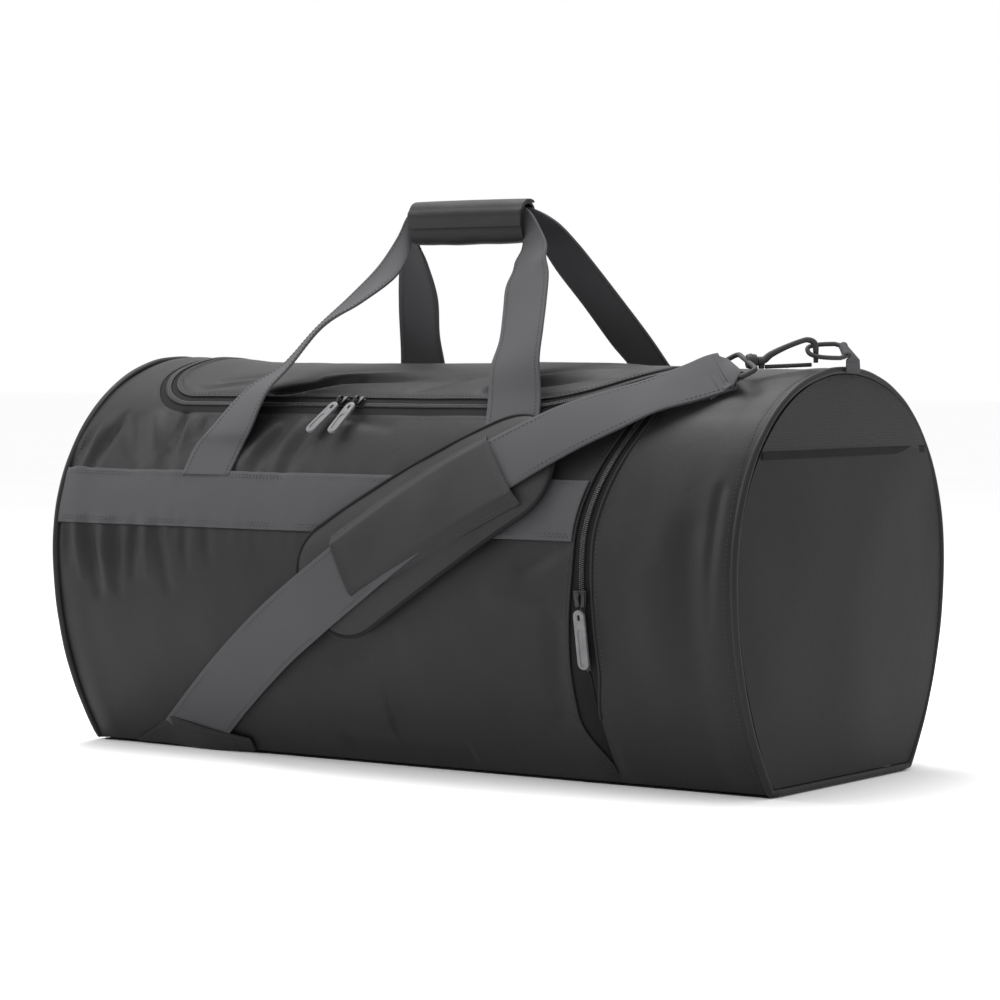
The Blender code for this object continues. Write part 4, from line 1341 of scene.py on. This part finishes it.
class BAG_OT_grip(bpy.types.Operator):
    """Wrap the padded grip round both handles"""

    bl_idname = "bag.grip"
    bl_label = "Grip"

    def execute(self, context):
        def wrap(u, v):
            along = (2 * u - 1) * GRIP_HALF + 0.0070 * u
            lumps = 0.03 * noise.noise(Vector((along * 60, v * 5, 2.0)))
            full = 1.0 + 0.06 * (1 - (2 * u - 1) ** 4) + lumps
            y, z = grip_section(2 * math.pi * v, 0.0090 * full, 0.0152 * full)
            return GRIP_CENTRE + Vector((along, y, z))

        made = woven_sheet("grip_wrap_cloth", wrap, 60, 48, (0.12, 0.09), 0.0020, side=-1.0)
        enlist(made, "bag", "pad cloth", ("grip_wrap",))
        collapse(made)

        def flap(u, v):
            along = (1 - 2 * u) * (GRIP_HALF + 0.0006) + 0.0078 * (1 - u)
            crease = 0.0012 * math.exp(-(((v - 0.72) / 0.06) ** 2))
            pillow = 0.0010 * math.sin(math.pi * u) ** 0.5 * math.sin(math.pi * min(v * 1.1, 1.0))
            angle = math.radians(62 + 130 * v)
            y, z = grip_section(angle, 0.0124 + pillow + crease, 0.0172 + pillow * 0.5)
            droop = 0.0006 * noise.noise(Vector((along * 45, v * 3, 6.0)))
            return GRIP_CENTRE + Vector((along, y + droop, z))

        size = (0.12, 0.045)
        made = woven_sheet("grip_flap_cloth", flap, 60, 40, size, 0.0016, side=1.0, rounding=WEB_EDGE)
        enlist(made, "grip_flap", "pad cloth", ("grip_flap",))
        runs = []
        for v, tilt in ((0.26, 0.3), (0.93, 0.0)):
            out = Vector((0, -1, tilt)).normalized()
            runs.append([(flap(k / 60, v) + Vector((0, -0.0002, 0.0)), out) for k in range(2, 59)])
        sewn = stitches("grip_stitches", runs, "grip_flap")
        strip = rounded_box(
            "grip_hook_strip", (0.100, 0.0007, 0.013),
            Matrix.Translation(GRIP_CENTRE + Vector((0.0, -0.0095, 0.0025))), 0.0002,
        )
        enlist(strip, "grip_flap", "hook and loop", ("grip_fastener",))
        for piece in (made, sewn, strip):
            collapse(piece)
        return {"FINISHED"}


# ---------------------------------------------------------------- shoulder strap and pad

def strap_frame(curve, t):
    """Centre (x, girth, lift) and unit direction across the strap at t."""
    here = sample(curve, t)
    ahead = sample(curve, t + 0.01) - sample(curve, t - 0.01)
    return here, Vector((ahead.y, -ahead.x)).normalized()


def strap_surface(curve, t, across, rise=0.0):
    """A point on the strap: across from -1 to 1, raised by rise."""
    here, side = strap_frame(curve, t)
    reach = side * sizes().webbing / 2 * across
    roll = (0.0062 if across > 0 else 0.0080) * smooth_step((t - 0.78) / 0.22) * across
    return skin(here.x + reach.x, max(here.y + reach.y, 0.003), here.z + rise - roll)


def strap_run(curve, places):
    """A stitch run over the strap: places is a list of (t, across)."""
    run = []
    for t, across in places:
        here = strap_surface(curve, t, across)
        run.append((here, (strap_surface(curve, t, across, 0.001) - here).normalized()))
    return run


class BAG_OT_strap(bpy.types.Operator):
    """Run the shoulder strap across the front to the hook's eye"""

    bl_idname = "bag.strap"
    bl_label = "Shoulder strap"

    def execute(self, context):
        curve = through(STRAP_ROUTE, 10)

        def point(u, v):
            ripple = 0.0008 * noise.noise(Vector((v * 14, u * 1.5, 9.0)))
            return strap_surface(curve, v, 2 * u - 1, ripple)

        thick = sizes().webbing_thick
        made = woven_sheet("strap_webbing", point, 14, 220, (0.05, 0.66), thick, rounding=WEB_EDGE)
        enlist(made, "bag", "webbing", ("shoulder_strap",))
        runs = [strap_run(curve, [(k / 220, across) for k in range(221)]) for across in (-0.86, 0.86)]
        runs += [strap_run(curve, [(t, k / 10 - 0.9) for k in range(19)]) for t in (0.955, 0.975)]
        stitches("strap_stitches", runs, "bag")
        self.loop(curve)
        self.patch()
        return {"FINISHED"}

    def loop(self, curve):
        """The strap's end, folded round the bar of the eye and sewn back under itself."""
        bar = hook_point(HOOK_REACH + 0.0135, 0) - EYE_BACK * 0.0130
        reach = sizes().webbing / 2

        def point(u, v):
            across = 2 * u - 1
            top = strap_surface(curve, 0.985, across, 0.0002)
            under = strap_surface(curve, 0.93, across, -0.0036)
            rim = bar + EYE_SIDE * reach * across * -0.98
            over = HOOK_ALONG.cross(EYE_SIDE) * 0.0030
            if v < 0.35:
                return top.lerp(rim + over, v / 0.35)
            if v < 0.65:
                a = math.pi * (v - 0.35) / 0.30
                return rim + over * math.cos(a) + HOOK_ALONG * 0.0032 * math.sin(a)
            return (rim - over).lerp(under, (v - 0.65) / 0.35)

        made = woven_sheet("strap_loop", point, 12, 40, (0.05, 0.05), 0.0012, side=0.0, rounding=THIN_EDGE)
        enlist(made, "bag", "webbing")

    def patch(self):
        """The three-cornered patch over the strap's sewn end."""
        left, peak, right = (-0.290, 0.0035), (-0.238, 0.0335), (-0.160, 0.0150)

        def outline(u):
            if u < 0.4:
                return Vector(left).lerp(Vector(peak), u / 0.4)
            return Vector(peak).lerp(Vector(right), (u - 0.4) / 0.6)

        def point(u, v):
            low = Vector(left).lerp(Vector((right[0], 0.0035)), u)
            high = outline(u) + Vector((0.0, 0.002))
            spot = low.lerp(high, v)
            over = smooth_step(1 - abs(spot.x + 0.205) / 0.055)
            return skin(spot.x, spot.y, 0.0022 + 0.0030 * over)

        made = woven_sheet("strap_patch_cloth", point, 60, 14, (0.13, 0.03), 0.0012, rounding=THIN_EDGE)
        enlist(made, "bag", "shell cloth", ("strap_patch",))
        run = []
        for k in range(61):
            u = k / 60
            spot = point(u, 0.86)
            run.append((spot, outward(spot.x, 0.01)))
        stitches("patch_stitches", [run], "bag")


def on_pad(along, across, angle, lift):
    """A point over the pad's middle, by its own directions."""
    x = PAD_CENTRE[0] + along * math.cos(angle) - across * math.sin(angle)
    girth = PAD_CENTRE[1] + along * math.sin(angle) + across * math.cos(angle)
    return skin(x, girth, lift)


def pad_half_width(along):
    """Half the pad's width at a distance from its middle, round at both ends."""
    length, width = PAD_SIZE
    round_part = width * 0.50
    past = max(abs(along) - (length / 2 - round_part), 0.0) / round_part
    return width / 2 * math.sqrt(max(1.0 - past**2.4, 0.0)) + 0.0004


class BAG_OT_pad(bpy.types.Operator):
    """Model the shoulder pad, its binding and its sleeve"""

    bl_idname = "bag.pad"
    bl_label = "Shoulder pad"

    def execute(self, context):
        length, width = PAD_SIZE

        def body(u, v):
            along = (u - 0.5) * length * 0.999
            half = pad_half_width(along)
            turn = 2 * math.pi * v
            c, s = math.cos(turn), math.sin(turn)
            across = half * math.copysign(abs(c) ** 0.8, c)
            rim = 1 - abs(across / (width / 2)) ** 3
            ends = smooth_step((length / 2 - abs(along)) / 0.02)
            thick = PAD_THICK * (0.45 + 0.55 * max(rim, 0.0) * ends)
            puff = 0.0005 * noise.noise(Vector((along * 40, across * 40, 3.0)))
            lift = PAD_FLOOR + PAD_THICK / 2 + thick / 2 * math.copysign(abs(s) ** 0.6, s) + puff
            return on_pad(along, across, PAD_ANGLE, lift)

        made = woven_sheet("pad_body", body, 90, 40, (0.24, 0.16), 0.0)
        only(made)
        bpy.ops.object.mode_set(mode="EDIT")
        bpy.ops.mesh.select_all(action="SELECT")
        bpy.ops.mesh.remove_doubles(threshold=0.00005)
        bpy.ops.mesh.select_all(action="DESELECT")
        bpy.ops.mesh.select_non_manifold()
        bpy.ops.mesh.edge_face_add()
        bpy.ops.mesh.select_all(action="SELECT")
        bpy.ops.mesh.normals_make_consistent(inside=False)
        bpy.ops.object.mode_set(mode="OBJECT")
        enlist(made, "bag", "pad cloth", ("pad_foam",))
        rim = []
        count = 120
        for k in range(count):
            angle = 2 * math.pi * k / count
            along = length / 2 * math.copysign(abs(math.cos(angle)) ** 0.75, math.cos(angle)) * 0.998
            across = math.copysign(pad_half_width(along), math.sin(angle))
            rim.append(on_pad(along, across, PAD_ANGLE, PAD_FLOOR + PAD_THICK / 2))
        made = tube("pad_binding", rim, 0.0017, 8, closed=True)
        enlist(made, "bag", "binding tape")
        self.sleeve()
        return {"FINISHED"}

    def sleeve(self):
        """The cloth sleeve over the strap, sewn down along both edges of the pad."""

        left, right = [Vector(end) for end in SLEEVE_LEFT], [Vector(end) for end in SLEEVE_RIGHT]

        def point(u, v):
            here = left[0].lerp(left[1], v).lerp(right[0].lerp(right[1], v), u)
            side = abs(2 * v - 1)
            drop = 0.0058 * smooth_step((side - 0.70) / 0.30)
            wave = 0.0014 * noise.noise(Vector((here.x * 22, here.y * 26, 7.0)))
            ends = 0.0008 * math.exp(-(((0.5 - abs(u - 0.5)) / 0.02) ** 2))
            return skin(here.x, here.y, SLEEVE_LIFT - drop + wave * (1 - side**4) + ends)

        made = woven_sheet("pad_sleeve_cloth", point, 80, 40, (0.17, 0.066), 0.0013, rounding=THIN_EDGE)
        enlist(made, "bag", "pad cloth", ("pad_sleeve",))
        runs = []

        def run_at(fixed, along_u):
            run = []
            for k in range(3, 58):
                t = k / 60
                spot = point(t, fixed) if along_u else point(fixed, t)
                out = Vector((0, spot.y, spot.z - SPRING_HEIGHT)).normalized()
                run.append((spot, out))
            return run

        runs += [run_at(0.045, True), run_at(0.955, True), run_at(0.030, False), run_at(0.970, False)]
        stitches("sleeve_stitches", runs, "bag")


# ---------------------------------------------------------------- ring and hook

def hook_point(along, rise, across=0.0):
    """A point by the hook's own measures: back from the nose, up, and to the side."""
    return NOSE - HOOK_ALONG * along + UP * rise + HOOK_SIDE * across


class BAG_OT_hardware(bpy.types.Operator):
    """Model the webbing tab, the D-ring and the swivel hook"""

    bl_idname = "bag.hardware"
    bl_label = "Ring and hook"

    def execute(self, context):
        slant = HOOK_SIDE * math.cos(RING_TILT) + UP * math.sin(RING_TILT)
        self.ring(slant)
        self.tab(slant)
        self.eye()
        self.hook()
        return {"FINISHED"}

    def ring(self, slant):
        """The D-ring: a straight bar and a bow."""
        fillet = 0.003
        outline = []
        for k in range(9):
            outline.append((0.0, (RING_HALF - fillet) * (-1 + 2 * k / 8)))
        bow = RING_DEPTH
        for k in range(1, 40):
            t = math.pi * k / 40
            side = RING_HALF * math.copysign(abs(math.cos(t)) ** 0.75, math.cos(t))
            outline.append((bow * math.sin(t) ** 0.62, side))
        points = [RING_BAR - HOOK_ALONG * a + slant * b for a, b in outline]
        made = tube("d_ring_wire", points, RING_WIRE, 14, closed=True)
        enlist(made, "d_ring", "hardware", ("d_ring",))

    def tab(self, slant):
        """The webbing tab: sewn to the end, up over the piping and round the ring's bar."""
        reach = 0.0074
        foot_x = HALF_LENGTH + 0.0016
        radius = RING_WIRE + 0.0011
        outward = HOOK_ALONG

        def point(u, v):
            across = 2 * u - 1
            bar = RING_BAR + slant * reach * across
            foot = Vector((foot_x, 0.007 + 0.0108 * across, 0.3190))
            neck = Vector((foot_x + 0.0004, 0.006 + 0.0100 * across, 0.3290))
            if v < 0.25:
                return foot.lerp(neck, v / 0.25)
            if v < 0.45:
                return neck.lerp(bar + outward * radius, (v - 0.25) / 0.20)
            a = math.pi * 1.35 * (v - 0.45) / 0.55
            return bar + outward * radius * math.cos(a) + slant.cross(outward) * -radius * math.sin(a)

        size = (0.018, 0.05)
        made = woven_sheet("ring_tab_webbing", point, 8, 48, size, 0.0013, side=0.0, rounding=THIN_EDGE)
        enlist(made, "bag", "webbing", ("ring_tab",))
        runs = []
        for v in (0.03, 0.20):
            spots = [point(k / 20, v) + Vector((0.0007, 0, 0)) for k in range(2, 19)]
            runs.append([(spot, Vector((1, 0, 0))) for spot in spots])
        stitches("tab_stitches", runs, "bag")

    def eye(self):
        """The swivel eye that the strap is sewn round."""
        near, far, half, corner = HOOK_REACH + 0.0135, HOOK_REACH + 0.0265, 0.0280, 0.0045
        outline = []
        for centre_a, centre_b, first in (
            (far - corner, half - corner, 0), (near + corner, half - corner, 90),
            (near + corner, -half + corner, 180), (far - corner, -half + corner, 270),
        ):
            for k in range(7):
                a = math.radians(first + 15 * k)
                outline.append((centre_a + corner * math.cos(a), centre_b + corner * math.sin(a)))
        points = [hook_point(near, 0) - EYE_BACK * (a - near) + EYE_SIDE * b for a, b in outline]
        loop = tube("hook_eye_loop", points, HOOK_WIRE, 12, closed=True)
        parts = [loop]
        for far_end, near_end, radius, rounding in (
            (0.0145, 0.0062, 0.0056, 0.0014), (0.0120, 0.0098, 0.0062, 0.0008)
        ):
            ends = hook_point(HOOK_REACH + far_end, 0), hook_point(HOOK_REACH + near_end, 0)
            parts.append(rod("hook_eye_barrel", *ends, radius, rounding))
        made = join("hook_eye_cast", parts)
        enlist(made, "bag", "hardware", ("hook_eye",))

    def hook(self):
        """The hook's cast arm and its sprung gate."""
        profile = (
            (HOOK_REACH + 0.0020, 0.0000, 0.0028), (0.0400, 0.0020, 0.0029), (0.0355, 0.0055, 0.0026),
            (0.0240, 0.0110, 0.0022), (0.0110, 0.0158, 0.0021), (0.0060, 0.0165, 0.0022),
            (0.0018, 0.0148, 0.0024), (0.0002, 0.0110, 0.0024), (0.0000, 0.0055, 0.0021),
            (0.0000, -0.0012, 0.0018),
        )
        line = through([hook_point(a, b) for a, b, _ in profile], 6)
        steps = len(line) - 1
        radii = []
        for k in range(steps + 1):
            place = k / steps * (len(profile) - 1)
            j = min(int(place), len(profile) - 2)
            radii.append(profile[j][2] + (profile[j + 1][2] - profile[j][2]) * (place - j))
        arm = tube("hook_arm", line, radii, 14)
        back = HOOK_REACH + 0.0024
        knob_ends = hook_point(HOOK_REACH + 0.0057, 0), hook_point(HOOK_REACH, 0)
        knob = rod("hook_knob", *knob_ends, 0.0037, 0.0010)
        web = rod("hook_web", hook_point(back, -0.0058), hook_point(back, 0.0016), 0.0023, 0.0006)
        made = join("hook_cast", [arm, knob, web])
        enlist(made, "hook", "hardware", ("hook_body",))
        gate_ends = hook_point(HOOK_REACH - 0.0004, -0.0042), hook_point(0.0034, -0.0026)
        gate = rod("gate_bar", *gate_ends, 0.0016, 0.0005)
        nub_ends = [hook_point(0.0230, -0.0038, across) for across in (-0.0026, 0.0026)]
        nub = rod("gate_nub", *nub_ends, 0.0014)
        made = join("gate_cast", [gate, nub])
        enlist(made, "hook_gate", "hardware", ("hook_gate",))


# ---------------------------------------------------------------- inside and stitching

class BAG_OT_lining(bpy.types.Operator):
    """Fit the divider between the main bag and the end pocket"""

    bl_idname = "bag.lining"
    bl_label = "Inside"

    def execute(self, context):
        def point(u, v):
            girth = 0.010 + v * (GIRTH / 2 - 0.016)
            wall = skin(SEAM_LOW_X, girth, -0.0030)
            y = wall.y * (1 - 2 * u)
            full = max(1 - (y / 0.16) ** 2, 0.0) * max(1 - ((wall.z - 0.165) / 0.165) ** 2, 0.0)
            slack = 0.004 * noise.noise(Vector((y * 10, wall.z * 10, 2.0))) * full
            return Vector((seam_x(girth) + slack, y, max(wall.z, 0.0042)))

        made = woven_sheet("divider_cloth", point, 70, 80, (0.32, 0.42), 0.0009, side=0.0)
        enlist(made, "bag", "lining cloth", ("divider",))
        return {"FINISHED"}


class BAG_OT_stitching(bpy.types.Operator):
    """Sew the visible rows of stitches on the shell"""

    bl_idname = "bag.stitching"
    bl_label = "Stitching"

    def execute(self, context):
        runs = []
        for inset in (0.0030, 0.0052):
            for girth in (BELT_LOW + inset, BELT_HIGH - inset):
                for mirrored in (False, True):
                    line = GIRTH - girth if mirrored else girth
                    stop = seam_x(line) - SIDE_TAPE - 0.003
                    first = -BARREL_X + 0.004
                    route = [(first + (stop - first) * k / 200, line) for k in range(201)]
                    runs.append(surface_run(route, BELT_LIFT))
        stitches("belt_stitches", runs, "bag")
        shell = []
        for x in (-BARREL_X + 0.0050, BARREL_X - 0.0050):
            shell.append(surface_run([(x, 0.006 + (GIRTH - 0.012) * k / 260) for k in range(261)], 0.0))
        for side in (-1, 1):
            inset = main_inset if side < 0 else zip_inset
            low = 0.012 if side < 0 else SIDE_ZIP_END
            route = []
            for k in range(161):
                girth = low + (SIDE_ZIP[1] - low) * k / 160
                route.append((seam_x(girth) + side * (inset(girth) + 0.0040), girth))
            shell.append(surface_run(route, 0.0))
        body_line = [(x, girth_at(y)) for x, y in lid_outline(2 * TAPE + 0.0028, LID_REAR)]
        shell.append(surface_run(body_line, 0.0))
        girth = girth_at(LID_REAR + 0.004)
        rear = [(LID_LEFT + (LID_RIGHT - LID_LEFT) * k / 150, girth) for k in range(151)]
        shell.append(surface_run(rear, 0.0))
        stitches("shell_stitches", shell, "bag")
        lid_line = [(x, girth_at(y)) for x, y in lid_outline(-0.0045, LID_REAR)]
        hem_line = [(x, girth_at(y)) for x, y in lid_outline(-0.0022, LID_REAR)]
        stitches("lid_stitches", [surface_run(lid_line, 0.0002), surface_run(hem_line, 0.0006)], "lid")
        return {"FINISHED"}


# ---------------------------------------------------------------- stage

def area_light(name, place, size, energy, target=Vector((0.0, 0.0, 0.17))):
    """A soft square light aimed at the bag."""
    light = bpy.data.lights.new(name, "AREA")
    light.size = size
    light.energy = energy
    made = bpy.data.objects.new(name, light)
    bpy.context.scene.collection.objects.link(made)
    made.location = place
    made.rotation_euler = (target - Vector(place)).to_track_quat("-Z", "Y").to_euler()
    return made


class BAG_OT_stage(bpy.types.Operator):
    """Set the floor, the lights and the camera"""

    bl_idname = "bag.stage"
    bl_label = "Stage"

    def execute(self, context):
        scene = context.scene
        bpy.ops.object.select_all(action="DESELECT")
        bpy.ops.mesh.primitive_plane_add(size=40.0, location=(0.0, 0.0, -0.0006))
        floor = context.active_object
        floor.name = "studio_floor"
        floor.data.materials.append(studio_paper("studio paper", 0.97))
        world = bpy.data.worlds.new("studio")
        world.use_nodes = True
        world.node_tree.nodes["Background"].inputs["Color"].default_value = (1.0, 1.0, 1.0, 1.0)
        world.node_tree.nodes["Background"].inputs["Strength"].default_value = 1.0
        scene.world = world
        area_light("overhead", (-0.3, 0.2, 1.9), 1.3, 42.0)
        area_light("left_key", (-2.0, -1.1, 1.3), 0.9, 20.0)
        scene.view_settings.view_transform = "Standard"
        camera = bpy.data.cameras.new("camera")
        camera.lens = 118.56
        camera.sensor_width = 36.0
        azimuth, elevation = math.radians(35.344), math.radians(2.49)
        level = math.cos(elevation)
        back = Vector((math.sin(azimuth) * level, -math.cos(azimuth) * level, math.sin(elevation)))
        eye = bpy.data.objects.new("camera", camera)
        scene.collection.objects.link(eye)
        eye.location = (1.5968, -2.2344, 0.3315)
        eye.rotation_euler = back.to_track_quat("Z", "Y").to_euler()
        scene.camera = eye
        return {"FINISHED"}


class BAG_PT_panel(bpy.types.Panel):
    """The bag's steps and settings"""

    bl_idname = "BAG_PT_panel"
    bl_label = "Barrel sports bag"
    bl_space_type = "VIEW_3D"
    bl_region_type = "UI"
    bl_category = "Bag"

    def draw(self, context):
        for group in (context.scene.bag_sizes, context.scene.bag_colours):
            for name in group.__annotations__:
                self.layout.prop(group, name)
        for step in STEPS:
            self.layout.operator(step.bl_idname)


STEPS = (
    BAG_OT_stage, BAG_OT_shell, BAG_OT_ends, BAG_OT_lid, BAG_OT_zips, BAG_OT_belts, BAG_OT_handles,
    BAG_OT_grip, BAG_OT_strap, BAG_OT_pad, BAG_OT_hardware, BAG_OT_lining, BAG_OT_stitching,
)
CLASSES = (BagSizes, BagColours, *STEPS, BAG_PT_panel)


def register():
    """Add the bag's classes and settings to Blender."""
    for kind in CLASSES:
        bpy.utils.register_class(kind)
    bpy.types.Scene.bag_sizes = PointerProperty(type=BagSizes)
    bpy.types.Scene.bag_colours = PointerProperty(type=BagColours)


def unregister():
    """Take them out again."""
    del bpy.types.Scene.bag_colours
    del bpy.types.Scene.bag_sizes
    for kind in reversed(CLASSES):
        bpy.utils.unregister_class(kind)


def main():
    """Model the bag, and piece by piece."""
    register()
    bpy.ops.bag.stage()
    bpy.ops.bag.shell()
    bpy.ops.bag.ends()
    bpy.ops.bag.lid()
    bpy.ops.bag.zips()
    bpy.ops.bag.belts()
    bpy.ops.bag.handles()
    bpy.ops.bag.grip()
    bpy.ops.bag.strap()
    bpy.ops.bag.pad()
    bpy.ops.bag.hardware()
    bpy.ops.bag.lining()
    bpy.ops.bag.stitching()


if __name__ == "__main__":
    main()
